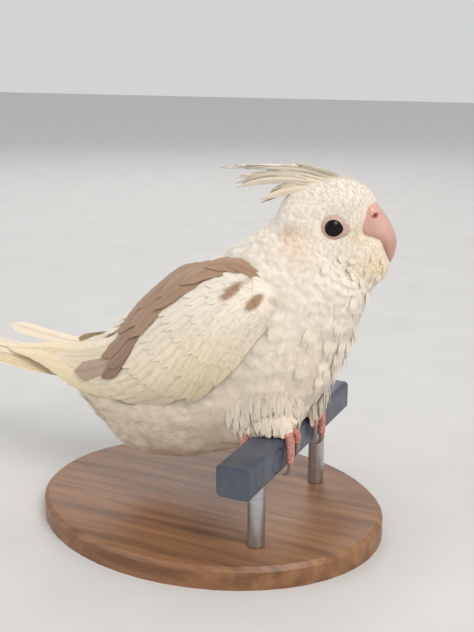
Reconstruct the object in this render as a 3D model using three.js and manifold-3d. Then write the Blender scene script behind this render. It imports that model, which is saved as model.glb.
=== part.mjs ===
// A life-size perched cockatiel on a short length of metal bar, held by a plain display stand.
// Millimetres, +Z up. The bird faces +X and its left side is +Y.
// Made with the npm packages three and manifold-3d.
import * as THREE from "three";
import { mergeVertices } from "three/addons/utils/BufferGeometryUtils.js";
import Module from "manifold-3d";

const wasm = await Module();
wasm.setup();

// Driving dimensions
const GAP = 0.3; // clearance kept between neighbouring nodes
const SLACK = 0.05; // how far simplifying a mesh may move its surface
const PERCH = { width: 12, height: 11, length: 92, corner: 1.6 };
// A flush round plug in the bar's front face.
const PLUG = { y: -24, z: -5.5, radius: 4, seam: 0.35, depth: 0.5 };
const PERCH_TOP = 44; // height of the bar's top above the floor
const BIRD_X = 32; // the bar stands this far ahead of the base's centre
const BASE = { length: 132, width: 104, height: 8, bevel: 1.5 };
const ROD = { radius: 3, spacing: 56 };
const HEAD = { x: 14.1, y: 2, z: 71.4, yaw: 18 }; // place of the point midway between the eyes
const EYE = { x: 0, y: 10.1, radius: 4.1, lidRadius: 3.3, lidTube: 0.6, forward: 8 };
const FOOT_Y = { left: 11, right: 17 }; // each foot's distance from the midline

const v3 = (x, y, z) => new THREE.Vector3(x, y, z);
const lerp = THREE.MathUtils.lerp;
const rad = THREE.MathUtils.degToRad;

// Closed geometry from a list of rings with the same number of points, capped by a fan at each end.
function loft(rings) {
  const count = rings[0].length;
  const points = rings.flat();
  const faces = [];
  for (let i = 0; i + 1 < rings.length; i++)
    for (let j = 0; j < count; j++) {
      const k = (j + 1) % count;
      const [a, b, c, d] = [i * count + j, i * count + k, (i + 1) * count + k, (i + 1) * count + j];
      faces.push([a, b, c], [a, c, d]);
    }
  for (const [ring, last] of [[0, false], [rings.length - 1, true]]) {
    const middle = rings[ring].reduce((sum, p) => sum.add(p), v3(0, 0, 0)).divideScalar(count);
    points.push(middle);
    for (let j = 0; j < count; j++) {
      const a = ring * count + j;
      const b = ring * count + ((j + 1) % count);
      faces.push(last ? [a, b, points.length - 1] : [b, a, points.length - 1]);
    }
  }
  return solidFrom(points, faces);
}

// A solid from points and triangles, turned to face out.
function solidFrom(points, faces) {
  const made = (list) =>
    new wasm.Manifold(
      new wasm.Mesh({
        numProp: 3,
        vertProperties: new Float32Array(points.flatMap((p) => [p.x, p.y, p.z])),
        triVerts: new Uint32Array(list.flat()),
      }),
    );
  const solid = made(faces);
  return solid.volume() < 0 ? made(faces.map(([a, b, c]) => [a, c, b])) : solid;
}

// A three.js geometry as a solid.
function toSolid(geometry) {
  const bare = geometry.index ? geometry.toNonIndexed() : geometry.clone();
  bare.deleteAttribute("normal");
  bare.deleteAttribute("uv");
  const merged = mergeVertices(bare, 1e-4);
  return new wasm.Manifold(
    new wasm.Mesh({
      numProp: 3,
      vertProperties: new Float32Array(merged.attributes.position.array),
      triVerts: new Uint32Array(merged.index.array),
    }),
  );
}

// A named mesh from a solid. Of several bodies only the largest is kept.
function toMesh(name, solid, material) {
  const bodies = solid.decompose().sort((a, b) => b.volume() - a.volume());
  const mesh = bodies[0].getMesh();
  const positions = new Float32Array(mesh.numVert * 3);
  for (let i = 0; i < mesh.numVert; i++)
    positions.set(mesh.vertProperties.subarray(i * mesh.numProp, i * mesh.numProp + 3), i * 3);
  const geometry = new THREE.BufferGeometry();
  geometry.setAttribute("position", new THREE.BufferAttribute(positions, 3));
  geometry.setIndex(new THREE.BufferAttribute(new Uint32Array(mesh.triVerts), 1));
  const out = new THREE.Mesh(geometry, material);
  out.name = name;
  return out;
}

const union = (solids) => solids.reduce((a, b) => a.add(b));

// Catmull-Rom value of a list of vectors at a station number, which may lie between two stations.
function along(list, station) {
  const i = Math.max(0, Math.min(Math.floor(station), list.length - 2));
  const t = station - i;
  const at = (k) =>
    k < 0
      ? list[0].clone().multiplyScalar(2).sub(list[1])
      : k >= list.length
        ? list[list.length - 1].clone().multiplyScalar(2).sub(list[list.length - 2])
        : list[k];
  const [a, b, c, d] = [at(i - 1), at(i), at(i + 1), at(i + 2)];
  const spline = (p, q, r, s) => {
    const [bend, twist] = [2 * p - 5 * q + 4 * r - s, 3 * q - p - 3 * r + s];
    return 0.5 * (2 * q + (r - p) * t + bend * t ** 2 + twist * t ** 3);
  };
  return v3(spline(a.x, b.x, c.x, d.x), spline(a.y, b.y, c.y, d.y), spline(a.z, b.z, c.z, d.z));
}

// A body whose sections each run between a top and a bottom point of the side view:
// [top x, top z, bottom x, bottom z, half width]. grow swells it all round.
function sectionBody(sections, { rings, sides, grow = 0, fullness = 2.15 }) {
  const tops = sections.map((s) => v3(s[0], 0, s[1]));
  const bottoms = sections.map((s) => v3(s[2], 0, s[3]));
  const widths = sections.map((s) => v3(s[4], 0, 0));
  const out = [];
  for (let i = 0; i < rings; i++) {
    const station = ((sections.length - 1) * i) / (rings - 1);
    const top = along(tops, station);
    const bottom = along(bottoms, station);
    const middle = top.clone().add(bottom).multiplyScalar(0.5);
    const up = top.clone().sub(bottom).normalize();
    const high = top.distanceTo(bottom) / 2 + grow;
    const wide = along(widths, station).x + grow;
    const ring = [];
    for (let j = 0; j < sides; j++) {
      const angle = (2 * Math.PI * j) / sides;
      const rounded = (x) => Math.sign(x) * Math.abs(x) ** (2 / fullness);
      const y = wide * rounded(Math.sin(angle));
      ring.push(middle.clone().addScaledVector(up, high * rounded(Math.cos(angle))).add(v3(0, y, 0)));
    }
    out.push(ring);
  }
  return loft(out);
}

// A round tube along points, with a radius at each, closed at both ends.
function tube(points, radii, sides, grow = 0, steps = 2) {
  const rings = [];
  const count = (points.length - 1) * steps + 1;
  const sizes = radii.map((r) => v3(r, 0, 0));
  let side = null;
  for (let i = 0; i < count; i++) {
    const station = i / steps;
    const here = along(points, station);
    const ahead = along(points, Math.min(station + 0.02, points.length - 1));
    const behind = along(points, Math.max(station - 0.02, 0));
    const forward = ahead.sub(behind).normalize();
    if (i === 0) here.addScaledVector(forward, -grow);
    if (i === count - 1) here.addScaledVector(forward, grow);
    if (!side) side = v3(0, 1, 0).cross(forward).length() > 0.3 ? v3(0, 1, 0) : v3(1, 0, 0);
    side = side.clone().addScaledVector(forward, -side.dot(forward)).normalize();
    const up = forward.clone().cross(side);
    const radius = along(sizes, station).x + grow;
    const ring = [];
    for (let j = 0; j < sides; j++) {
      const angle = (2 * Math.PI * j) / sides;
      ring.push(
        here
          .clone()
          .addScaledVector(side, radius * Math.cos(angle))
          .addScaledVector(up, radius * Math.sin(angle)),
      );
    }
    rings.push(ring);
  }
  return loft(rings);
}

// A thin four-cornered feather along frames of { p, side, normal, width, thick }.
function vane(frames) {
  return loft(
    frames.map(({ p, side, normal, width, thick }) =>
      [[-1, 1], [1, 1], [1, -1], [-1, -1]].map(([s, n]) =>
        p
          .clone()
          .addScaledVector(side, (s * width) / 2)
          .addScaledVector(normal, (n * thick) / 2),
      ),
    ),
  );
}

// Share of a feather's full width at a place from root 0 to tip 1.
function featherWidth(t, blunt = 0.9) {
  if (t < 0.3) return lerp(0.5, 1, t / 0.3);
  if (t < blunt) return 1;
  return Math.max(0.22, Math.sqrt(1 - ((t - blunt) / (1 - blunt)) ** 2));
}

// Trunk: rump, body and neck as one form, from the tail end to inside the head.
const TRUNK = [
  [-99, 13, -98, 4, 6],
  [-86, 18.5, -84, -3, 12],
  [-74, 25, -72, -13, 16],
  [-61, 36, -57.5, -22.5, 21.5],
  [-47, 46, -37, -21, 26.5],
  [-34, 53, -17, -14, 27.5],
  [-24, 59, 2, -4, 26.5],
  [-16, 64.5, 14, 11, 24],
  [-9, 70, 21, 26, 20.5],
  [-3, 74, 25.5, 39, 17.5],
  [3, 78, 27.5, 49.5, 14],
];
const trunkBody = (grow) => sectionBody(TRUNK, { rings: 21, sides: 20, grow });

// Head, in its own frame: x towards the bill, z up, origin between the eyes.
const SKULL = [
  [-18.3, 1, -17, -9, 6],
  [-15.6, 7, -14, -16, 10.4],
  [-11, 11.3, -8, -20, 12.6],
  [-5, 14, -1, -22, 13.4],
  [1, 14.6, 6.5, -22.5, 12.9],
  [6, 13.4, 12.5, -21, 10.8],
  [9.6, 11.2, 16.4, -18.4, 8],
  [12, 9, 18.6, -15.8, 5.6],
  [12.8, 7.4, 18, -13.4, 3.8],
];
const UPPER_BILL = [
  [10.2, 8.6, 7.5, -4.8, 6.1],
  [13.4, 6.8, 10.4, -5.4, 6.4],
  [16.9, 2.4, 13.4, -6, 6],
  [19.4, -1.8, 15.2, -7, 5],
  [20.7, -6, 16.4, -8.8, 3.7],
  [20.3, -10, 17.3, -10.9, 2.3],
  [19.2, -13, 18.2, -12.8, 0.9],
];
const LOWER_BILL = [
  [8.5, -6.4, 8, -11.5, 4.9],
  [11.5, -6.8, 11, -12.6, 4.8],
  [14.2, -8.4, 13.8, -13.6, 4.2],
  [15.8, -10.4, 15.6, -14, 3],
  [16.7, -12.4, 16.6, -13.9, 1.6],
];

// Cere: the soft swelling over the root of the upper bill, with a nostril on each side.
const CERE = [
  [9.5, 7.6, 9, 1.4, 4.8],
  [11.2, 8.2, 10.2, 0.3, 5.9],
  [13.2, 7.1, 12, 0.2, 6.3],
  [14.6, 5.3, 13.7, 1, 5.3],
];
const NOSTRIL = { x: 12.9, y: 5.3, z: 4.2, radius: 0.85 };
// Hollow of the face on each side of the bill, where the plumage ends at the gape.
const LORE = { place: [14.2, 9.4, -0.6], reach: [6, 4.6, 5.2] };
// Feathered thigh over each foot.
const THIGH = [
  [-26, 8, -25, -6, 3.5],
  [-15, 17, -14, -8, 7.5],
  [-2, 17, -1, -3, 8],
  [6.5, 11.5, 6, 0.5, 6],
  [9.5, 7.5, 8.6, 2.6, 3],
];

const headTurn = new THREE.Matrix4()
  .makeRotationZ(rad(HEAD.yaw))
  .premultiply(new THREE.Matrix4().makeTranslation(HEAD.x, HEAD.y, HEAD.z));
const onHead = (solid) => solid.transform(headTurn.elements);
const sphere = (radius, wide, high) => toSolid(new THREE.SphereGeometry(radius, wide, high));

function eyeball(sign, grow = 0) {
  return sphere(EYE.radius + grow, 12, 8).translate([EYE.x, sign * EYE.y, 0]);
}

function eyelid(sign) {
  const ring = toSolid(new THREE.TorusGeometry(EYE.lidRadius, EYE.lidTube, 4, 13));
  const out = EYE.y + Math.sqrt(EYE.radius ** 2 - EYE.lidRadius ** 2);
  return ring
    .rotate([-90 * sign, 0, 0])
    .rotate([0, 0, -EYE.forward * sign])
    .translate([EYE.x + 0.4, sign * (out + 0.25), 0]);
}

// Crest: narrow feathers from the forehead back over the crown, the front ones longest.
const CREST = { count: 11, long: 47, short: 15, width: 2.7, thick: 0.7 };
function crestFeather(i) {
  const t = i / (CREST.count - 1); // 0 at the forehead, 1 at the back of the crown
  const spread = (i % 2 ? 1 : -1) * lerp(0.4, 2.6, t) * (i % 3 ? 1 : 0.4);
  const root = v3(lerp(9.5, -9, t), spread, lerp(9.8, 10.8, t ** 2) + 2.6 * Math.sin(Math.PI * t));
  const length = lerp(CREST.long, CREST.short, t ** 0.85);
  const rise = rad(lerp(34, -14, t ** 0.8));
  const settle = rad(lerp(-3, -22, t));
  const frames = [];
  let p = root;
  const steps = 5;
  for (let k = 0; k <= steps; k++) {
    const s = k / steps;
    const pitch = lerp(rise, settle, Math.sin((Math.PI / 2) * Math.min(1, s * 1.5)));
    const forward = v3(-Math.cos(pitch), spread * 0.02, Math.sin(pitch)).normalize();
    const side = v3(0, 1, 0);
    const normal = forward.clone().cross(side).normalize();
    const width = CREST.width * (s < 0.55 ? 1 : lerp(1, 0.3, (s - 0.55) / 0.45));
    frames.push({ p: p.clone(), side, normal, width, thick: lerp(CREST.thick, 0.5, s) });
    p = p.clone().addScaledVector(forward, length / steps);
  }
  return vane(frames);
}

// Wing: a surface that hugs the right side, through the lower, middle and upper edge of each station.
const WING = [
  [[3, -19.5, 44], [4.5, -20.8, 47.5], [3, -19.5, 51]],
  [[-4, -25.5, 35], [-6, -27.4, 46], [-7, -19, 57]],
  [[-13, -28, 23], [-18, -29.8, 39], [-21, -14.5, 57.5]],
  [[-27, -27.5, 12], [-33, -29, 29], [-37, -12.5, 51.5]],
  [[-43, -25, 7.5], [-48, -25.5, 20], [-52, -10.5, 40.5]],
  [[-60, -21, 4.5], [-62, -21, 14], [-65, -9, 28]],
  [[-80, -14.5, 3], [-80, -13.5, 10.5], [-82, -6, 20.5]],
  [[-100, -11.5, 6.5], [-100, -10, 11], [-101, -4.5, 15]],
  [[-125, -8.5, 8.5], [-125, -7, 10], [-125, -3.5, 11.5]],
  [[-152, -6, 11], [-152, -4.5, 12], [-152, -3, 13]],
].map((station) => station.map((p) => v3(...p)));
const WING_EDGES = [0, 1, 2].map((k) => WING.map((station) => station[k]));
const CORE_ROWS = 13;
const CORE_STEP = 0.51; // stations between two rows of the wing's fleshy part

// Point of the wing's surface at station u, from its lower edge v = -1 to its upper edge v = 1.
function wingSurface(u, v) {
  const [low, middle, high] = WING_EDGES.map((edge) => along(edge, u));
  return low
    .multiplyScalar((v * (v - 1)) / 2)
    .addScaledVector(middle, 1 - v * v)
    .addScaledVector(high, (v * (v + 1)) / 2);
}

function wingFrame(u, v) {
  const step = 0.01;
  const alongU = wingSurface(Math.min(u + step, 9), v).sub(wingSurface(Math.min(u, 9) - step, v));
  const alongV = wingSurface(u, v + step).sub(wingSurface(u, v - step));
  const across = alongV.clone().normalize();
  return { p: wingSurface(u, v), normal: alongV.cross(alongU).normalize(), across };
}

// A slab of the wing's surface from depth(v) below it to height above it,
// wider by margin past its lower edge.
function wingSlab(uStart, rows, depth, height, margin = 0) {
  const columns = 7;
  const points = [];
  const faces = [];
  for (const offset of [() => height, (v) => -depth(v)])
    for (let i = 0; i < rows; i++)
      for (let j = 0; j < columns; j++) {
        const v = lerp(-1, 1, j / (columns - 1));
        const { p, normal, across } = wingFrame(uStart + i * CORE_STEP, v);
        const lower = lerp(margin / 5, margin, Math.min(1, i / 4));
        const edge = j === 0 ? -lower : j === columns - 1 ? margin / 5 : 0;
        points.push(p.addScaledVector(normal, offset(v)).addScaledVector(across, edge));
      }
  const at = (layer, i, j) => (layer * rows + i) * columns + j;
  for (let i = 0; i + 1 < rows; i++)
    for (let j = 0; j + 1 < columns; j++)
      for (const layer of [0, 1]) {
        const [a, b] = [at(layer, i, j), at(layer, i + 1, j)];
        const [c, d] = [at(layer, i + 1, j + 1), at(layer, i, j + 1)];
        faces.push(...(layer ? [[a, b, c], [a, c, d]] : [[a, c, b], [a, d, c]]));
      }
  const rim = [];
  for (let i = 0; i < rows; i++) rim.push([i, 0]);
  for (let j = 1; j < columns; j++) rim.push([rows - 1, j]);
  for (let i = rows - 2; i >= 0; i--) rim.push([i, columns - 1]);
  for (let j = columns - 2; j > 0; j--) rim.push([0, j]);
  rim.forEach(([i, j], k) => {
    const [m, n] = rim[(k + 1) % rim.length];
    faces.push([at(0, i, j), at(0, m, n), at(1, m, n)], [at(0, i, j), at(1, m, n), at(1, i, j)]);
  });
  return solidFrom(points, faces);
}

// A wing feather from [u, v, height] at its root to [u, v, height] at its tip.
function wingFeather(root, tip, width, shape = {}) {
  const { tilt = 0.12, thick = 0.6, steps = 4, blunt = 0.75, lift = 0 } = shape;
  const frames = [];
  for (let k = 0; k <= steps; k++) {
    const t = k / steps;
    const [u, v, h] = root.map((value, n) => lerp(value, tip[n], t));
    const { p, normal } = wingFrame(u, v);
    const slope = (tip[1] - root[1]) / (tip[0] - root[0]);
    const forward = wingSurface(u + 0.02, v + 0.02 * slope).sub(p).normalize();
    const side = normal.clone().cross(forward).normalize();
    const turned = side.clone().addScaledVector(normal, tilt).normalize();
    frames.push({
      p: p.addScaledVector(normal, h + lift * t * t),
      side: turned,
      normal: forward.clone().cross(turned).normalize(),
      width: width * featherWidth(t, blunt),
      thick,
    });
  }
  return vane(frames);
}

// Flight feathers and coverts in tiers. One primary is raised clear of the rest by lift
// and reaches further back.
function wingFeathers({ lift, reach }) {
  const out = [];
  const spread = (count, make) => {
    for (let i = 0; i < count; i++) out.push(make(i / (count - 1), i));
  };
  spread(6, (t, i) => {
    const raised = i === 1 && lift > 0;
    const root = [4.4, lerp(0.45, -0.75, t), lerp(-0.3, -0.9, t)];
    const tip = [lerp(7.75, 6.5, t) + (raised ? reach : 0), lerp(0.8, -0.42, t), lerp(0.3, -0.9, t)];
    return wingFeather(root, tip, lerp(7.8, 7, t), { lift: raised ? lift : 0, blunt: 0.82 });
  });
  spread(6, (t) => {
    const root = [lerp(2.6, 3.9, t), lerp(-0.55, 0.75, t), -0.5];
    const tip = [lerp(4.25, 6.9, t ** 0.9), lerp(-0.98, 0.55, t), 0.3];
    return wingFeather(root, tip, lerp(9, 8, t));
  });
  spread(6, (t) => {
    const root = [lerp(1.3, 2.9, t), lerp(-0.5, 0.8, t), -0.5];
    const tip = [lerp(2.9, 4.9, t), lerp(-1.02, 0.62, t), 1.2];
    return wingFeather(root, tip, 9, { steps: 3, tilt: 0.1 });
  });
  return out;
}

const coreDepth = (v) => 1.3 + 1.6 * (1 - v * v);
const wingCore = wingSlab(0, CORE_ROWS, coreDepth, 0);
const mirrorY = (solid) => solid.mirror([0, 1, 0]);
const wingRight = union([wingCore, ...wingFeathers({ lift: 0, reach: 0 })]);
const wingLeft = mirrorY(union([wingCore, ...wingFeathers({ lift: 10, reach: 0.4 })]));
const wingRoom = wingSlab(-CORE_STEP / 3, CORE_ROWS + 5, (v) => coreDepth(v) + GAP + 0.4, 9, 4.4);

// Tail: twelve feathers in stepped pairs, the middle pair longest and on top.
const TAIL = {
  rootX: -82,
  rootZ: 8.2,
  length: 153,
  pairs: 6,
  width: 11,
  thick: 0.6,
  drop: 0.7,
  rise: 0.075,
};
function tailFeather(pair, sign) {
  const t = pair / (TAIL.pairs - 1);
  const length = TAIL.length * lerp(1, 0.52, t ** 0.75);
  const frames = [];
  const steps = 5;
  for (let k = 0; k <= steps; k++) {
    const s = k / steps;
    const x = TAIL.rootX - length * s;
    const apart = lerp(1.6, 2.2 + 1.5 * pair, s);
    const z = TAIL.rootZ + TAIL.rise * length * s - TAIL.drop * pair + (sign > 0 ? 0.45 : 0);
    frames.push({
      p: v3(x, sign * (apart + 0.9 * pair * (1 - s)), z),
      side: v3(0, 1, -0.08 * sign).normalize(),
      normal: v3(0, 0.08 * sign, 1).normalize(),
      width: TAIL.width * featherWidth(s, pair < 1 ? 0.6 : 0.8) * (pair < 1 ? 0.9 : 0.85),
      thick: TAIL.thick,
    });
  }
  return vane(frames);
}
function tailBody(grow = 0) {
  const core = [
    [-79, 11 + grow, -79, 2 - grow, 6 + grow],
    [-90, 10.6 + grow, -90, 2.5 - grow, 8 + grow],
    [-108, 11 + grow, -108, 5 - grow, 7 + grow],
  ];
  return sectionBody(core, { rings: 5, sides: 14 });
}
const tailFeathers = [];
for (let pair = 0; pair < TAIL.pairs; pair++) {
  tailFeathers.push(tailFeather(pair, -1), tailFeather(pair, 1));
}
const tail = union([tailBody(), ...tailFeathers]);
const tailRoom = toSolid(new THREE.BoxGeometry(170, 24, 11)).translate([-79 - 85, 0, 6]);

// Legs and feet: a short shank, two toes ahead of the bar and two behind, each curled over its edge.
const FRONT = PERCH.width / 2 + GAP; // face that the toes lie on
const TOES = [
  { name: "outer_front", ahead: 1, from: -0.4, to: -0.9, down: 8.4, radius: 1.55 },
  { name: "inner_front", ahead: 1, from: 1.2, to: 5.6, down: 3.2, radius: 1.4 },
  { name: "outer_back", ahead: -1, from: -1.2, to: -4.4, down: 7.4, radius: 1.5 },
  { name: "inner_back", ahead: -1, from: 1.2, to: 3.4, down: 3.6, radius: 1.4 },
];
function toePath({ ahead, from, to, down, radius }) {
  const out = FRONT + radius;
  return [
    v3(0, from * 0.5, radius + GAP + 0.4),
    v3(3.2 * ahead, lerp(from, to, 0.35), radius + GAP + 0.5),
    v3((out - 0.7) * ahead, lerp(from, to, 0.75), radius * 0.75),
    v3(out * ahead, to, -down * 0.45),
    v3(out * ahead, to, -down),
  ];
}
function footPart(parts, grow = 0) {
  const pieces = TOES.map((toe) => {
    const r = toe.radius;
    return tube(toePath(toe), [r * 1.25, r * 1.05, r, r * 0.92, r * 0.8], 7, grow, 1);
  });
  pieces.push(tube([v3(0, 0, 2.6), v3(-1.2, 0.2, 6), v3(-4.5, 1, 13)], [2.3, 1.9, 2.1], 8, grow));
  return parts === "all" ? union(pieces) : pieces;
}
function clawSolid({ ahead, to, down, radius }, grow = 0) {
  const out = FRONT + radius;
  const start = -down - GAP - 0.2;
  // A claw past the bar's lower half curls in under it.
  const hook = start < -PERCH.height / 2 - 2 ? 2.6 : 0.5;
  return tube(
    [
      v3(out * ahead, to, start),
      v3((out + 0.1) * ahead, to, start - 1.8),
      v3((out - 0.35 * hook) * ahead, to, start - 3.6),
      v3((out - hook) * ahead, to, start - 4.7),
    ],
    [radius * 0.72, radius * 0.6, radius * 0.42, 0.25],
    8,
    grow,
    1,
  );
}
// Puts a right foot's solid in place; the left foot's is its mirror image.
const footAt = (solid, side) =>
  side > 0 ? mirrorY(solid.translate([0, -FOOT_Y.left, 0])) : solid.translate([0, -FOOT_Y.right, 0]);

// Perch and stand
function roundedBar(grow = 0) {
  const [w, h, r] = [PERCH.width / 2 + grow, PERCH.height / 2 + grow, PERCH.corner];
  const shape = new THREE.Shape();
  shape.moveTo(-w + r, -h);
  shape.lineTo(w - r, -h);
  shape.absarc(w - r, -h + r, r, -Math.PI / 2, 0);
  shape.absarc(w - r, h - r, r, 0, Math.PI / 2);
  shape.absarc(-w + r, h - r, r, Math.PI / 2, Math.PI);
  shape.absarc(-w + r, -h + r, r, Math.PI, 1.5 * Math.PI);
  const length = PERCH.length + 2 * grow;
  const bevel = { depth: length, bevelEnabled: false, curveSegments: 4 };
  const bar = toSolid(new THREE.ExtrudeGeometry(shape, bevel));
  return bar.rotate([90, 0, 0]).translate([0, length / 2, -PERCH.height / 2]);
}
// Ring-shaped seam of the plug, to be cut out of the bar.
function plugSeam() {
  const disc = (radius, height) => toSolid(new THREE.CylinderGeometry(radius, radius, height, 20));
  const ring = disc(PLUG.radius + PLUG.seam, 2 * PLUG.depth).subtract(disc(PLUG.radius, 4));
  return ring.rotate([0, 0, 90]).translate([PERCH.width / 2, PLUG.y, PLUG.z]);
}

// Materials
function material(color, roughness, metalness = 0) {
  return new THREE.MeshStandardMaterial({ color, roughness, metalness });
}
const PLUMAGE = material(0xe4d8c8, 0.9);
const EYE_GLOSS = material(0x15100f, 0.1);
const BILL = material(0xd9a597, 0.45);
const SKIN = material(0xd98f84, 0.6);
const CLAW = material(0x6f625c, 0.4);
const BAR_PAINT = material(0x3c4656, 0.45, 0.3);
const STEEL = material(0x8d9196, 0.35, 0.9);
const WOOD = material(0x8a6544, 0.6);

// The head and trunk are one form, parted by thin cuts at the throat and at the shoulders.
const skull = onHead(sectionBody(SKULL, { rings: 15, sides: 20, fullness: 2.2 }));
const thigh = (y) => sectionBody(THIGH, { rings: 7, sides: 11 }).translate([0, y, 0]);
const whole = union([trunkBody(0), skull, thigh(2 - FOOT_Y.right), thigh(FOOT_Y.left + 1)]);
function partBy(solid, point, normal) {
  const n = normal.normalize();
  const offset = point.dot(n);
  const direction = [n.x, n.y, n.z];
  const back = [-n.x, -n.y, -n.z];
  return [solid.trimByPlane(direction, offset + GAP / 2), solid.trimByPlane(back, -(offset - GAP / 2))];
}
const [headBlank, belowHead] = partBy(whole, v3(6, 0, 58), v3(0.35, 0, 1));
const [neck, torsoBlank] = partBy(belowHead, v3(4, 0, 44), v3(0.62, 0, 0.9));

const eyes = { left: onHead(eyeball(1)), right: onHead(eyeball(-1)) };
const billShape = { rings: 11, sides: 12, fullness: 2.1 };
const cereShape = { rings: 5, sides: 12 };
const nostril = (side) => sphere(NOSTRIL.radius, 8, 6).translate([NOSTRIL.x, side * NOSTRIL.y, NOSTRIL.z]);
const upperBill = onHead(
  sectionBody(UPPER_BILL, billShape)
    .add(sectionBody(CERE, cereShape))
    .subtract(nostril(1))
    .subtract(nostril(-1)),
);
const lowerBill = onHead(sectionBody(LOWER_BILL, { rings: 9, sides: 12 }));
const upperRoom = onHead(
  sectionBody(UPPER_BILL, { ...billShape, grow: GAP }).add(sectionBody(CERE, { ...cereShape, grow: GAP })),
);
const MOUTH = [...LOWER_BILL.slice(0, 4), [22, -9.6, 21.6, -15.4, 2.6]]; // opening ahead of the lower bill
const lowerRoom = onHead(sectionBody(MOUTH, { rings: 9, sides: 12, grow: GAP + 0.35 }));
const loreRoom = (side) => {
  const [x, y, z] = LORE.place;
  return onHead(sphere(1, 12, 8).scale(LORE.reach).translate([x, side * y, z]));
};
const crest = [];
for (let i = 0; i < CREST.count; i++) crest.push(onHead(crestFeather(i)));
const face = headBlank.subtract(loreRoom(1)).subtract(loreRoom(-1));
const head = union([face, onHead(eyelid(1)), onHead(eyelid(-1)), ...crest])
  .subtract(onHead(eyeball(1, GAP)))
  .subtract(onHead(eyeball(-1, GAP)))
  .subtract(upperRoom)
  .subtract(lowerRoom);

const bird = [
  toMesh("head", head.simplify(SLACK), PLUMAGE),
  toMesh("bill_upper", upperBill.simplify(SLACK), BILL),
  toMesh("bill_lower", lowerBill.subtract(upperRoom), BILL),
  toMesh("eye_left", eyes.left, EYE_GLOSS),
  toMesh("eye_right", eyes.right, EYE_GLOSS),
];

const feet = { left: footAt(footPart("all"), 1), right: footAt(footPart("all"), -1) };
const feetRoom = [1, -1].map((side) => footAt(union(footPart("pieces", GAP)), side));
const claws = [];
for (const [word, side] of [["left", 1], ["right", -1]])
  for (const toe of TOES) {
    const [solid, room] = [0, GAP].map((grow) => footAt(clawSolid(toe, grow), side));
    claws.push({ name: `claw_${word}_${toe.name}`, solid, room });
  }

const barRoom = roundedBar(GAP);
// What the wings take up, with the gap on each side of every feather.
const wingRooms = [wingRoom, mirrorY(wingRoom)];
for (const wing of [wingRight, wingLeft])
  for (const shift of [[0, GAP, 0], [0, -GAP, 0], [0, 0, GAP], [0, 0, -GAP]])
    wingRooms.push(wing.translate(shift));
const clearOf = (solid, rooms) => rooms.reduce((left, room) => left.subtract(room), solid);
const clawRooms = claws.map((claw) => claw.room);
const torso = clearOf(torsoBlank, [...wingRooms, tailRoom, barRoom, ...feetRoom, ...clawRooms]);
bird.push(
  toMesh("neck", clearOf(neck, wingRooms).simplify(SLACK), PLUMAGE),
  toMesh("torso", torso.simplify(SLACK), PLUMAGE),
  toMesh("wing_left", wingLeft, PLUMAGE),
  toMesh("wing_right", wingRight, PLUMAGE),
  toMesh("tail", clearOf(tail, wingRooms.slice(2)).simplify(SLACK), PLUMAGE),
  toMesh("leg_left", feet.left, SKIN),
  toMesh("leg_right", feet.right, SKIN),
  ...claws.map((claw) => toMesh(claw.name, claw.solid, CLAW)),
  toMesh("perch_bar", roundedBar().subtract(plugSeam()), BAR_PAINT),
);

function standBase() {
  const { length, width, height, bevel } = BASE;
  const profile = [
    [0, 0],
    [1, 0],
    [1, height - bevel],
    [1 - bevel / 60, height],
    [0, height],
  ].map(([r, z]) => new THREE.Vector2(r * 50, z));
  const disc = toSolid(new THREE.LatheGeometry(profile, 48));
  return disc.rotate([90, 0, 0]).scale([length / 100, width / 100, 1]);
}
function standRod(side) {
  const bottom = BASE.height + GAP;
  const top = PERCH_TOP - PERCH.height - GAP;
  const cylinder = new THREE.CylinderGeometry(ROD.radius, ROD.radius, top - bottom, 20);
  const rod = toSolid(cylinder).rotate([90, 0, 0]);
  return rod.translate([BIRD_X, (side * ROD.spacing) / 2, (top + bottom) / 2]);
}

const group = new THREE.Group();
const birdGroup = new THREE.Group();
birdGroup.position.set(BIRD_X, 0, PERCH_TOP);
birdGroup.add(...bird);
group.add(
  birdGroup,
  toMesh("stand_base", standBase(), WOOD),
  toMesh("stand_rod_left", standRod(1), STEEL),
  toMesh("stand_rod_right", standRod(-1), STEEL),
);

export default group;
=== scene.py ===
# A life-size perched cockatiel in full plumage on a short metal bar and a plain display stand.
# All shapes are given in millimetres in the bird's own frame: x forward, y to its left, z up from the
# bar's top.
import math
from functools import lru_cache
from itertools import product

import bpy
import numpy as np
from mathutils import Matrix, Vector
from mathutils.bvhtree import BVHTree
from mathutils.kdtree import KDTree
from mathutils.noise import noise as noise_at


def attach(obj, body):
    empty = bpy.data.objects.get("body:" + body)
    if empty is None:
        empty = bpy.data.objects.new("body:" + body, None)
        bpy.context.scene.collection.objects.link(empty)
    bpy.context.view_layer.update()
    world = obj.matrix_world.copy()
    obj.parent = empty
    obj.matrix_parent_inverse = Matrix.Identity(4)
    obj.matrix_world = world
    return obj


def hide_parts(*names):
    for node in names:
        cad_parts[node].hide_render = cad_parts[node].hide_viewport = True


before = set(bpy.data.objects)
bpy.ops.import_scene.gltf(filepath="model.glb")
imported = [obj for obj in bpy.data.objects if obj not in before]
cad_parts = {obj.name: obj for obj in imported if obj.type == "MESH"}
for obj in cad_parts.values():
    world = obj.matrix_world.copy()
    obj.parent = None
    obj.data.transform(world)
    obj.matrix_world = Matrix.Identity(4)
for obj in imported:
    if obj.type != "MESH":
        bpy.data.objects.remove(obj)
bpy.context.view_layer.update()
rng = np.random.default_rng(11)

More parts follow.
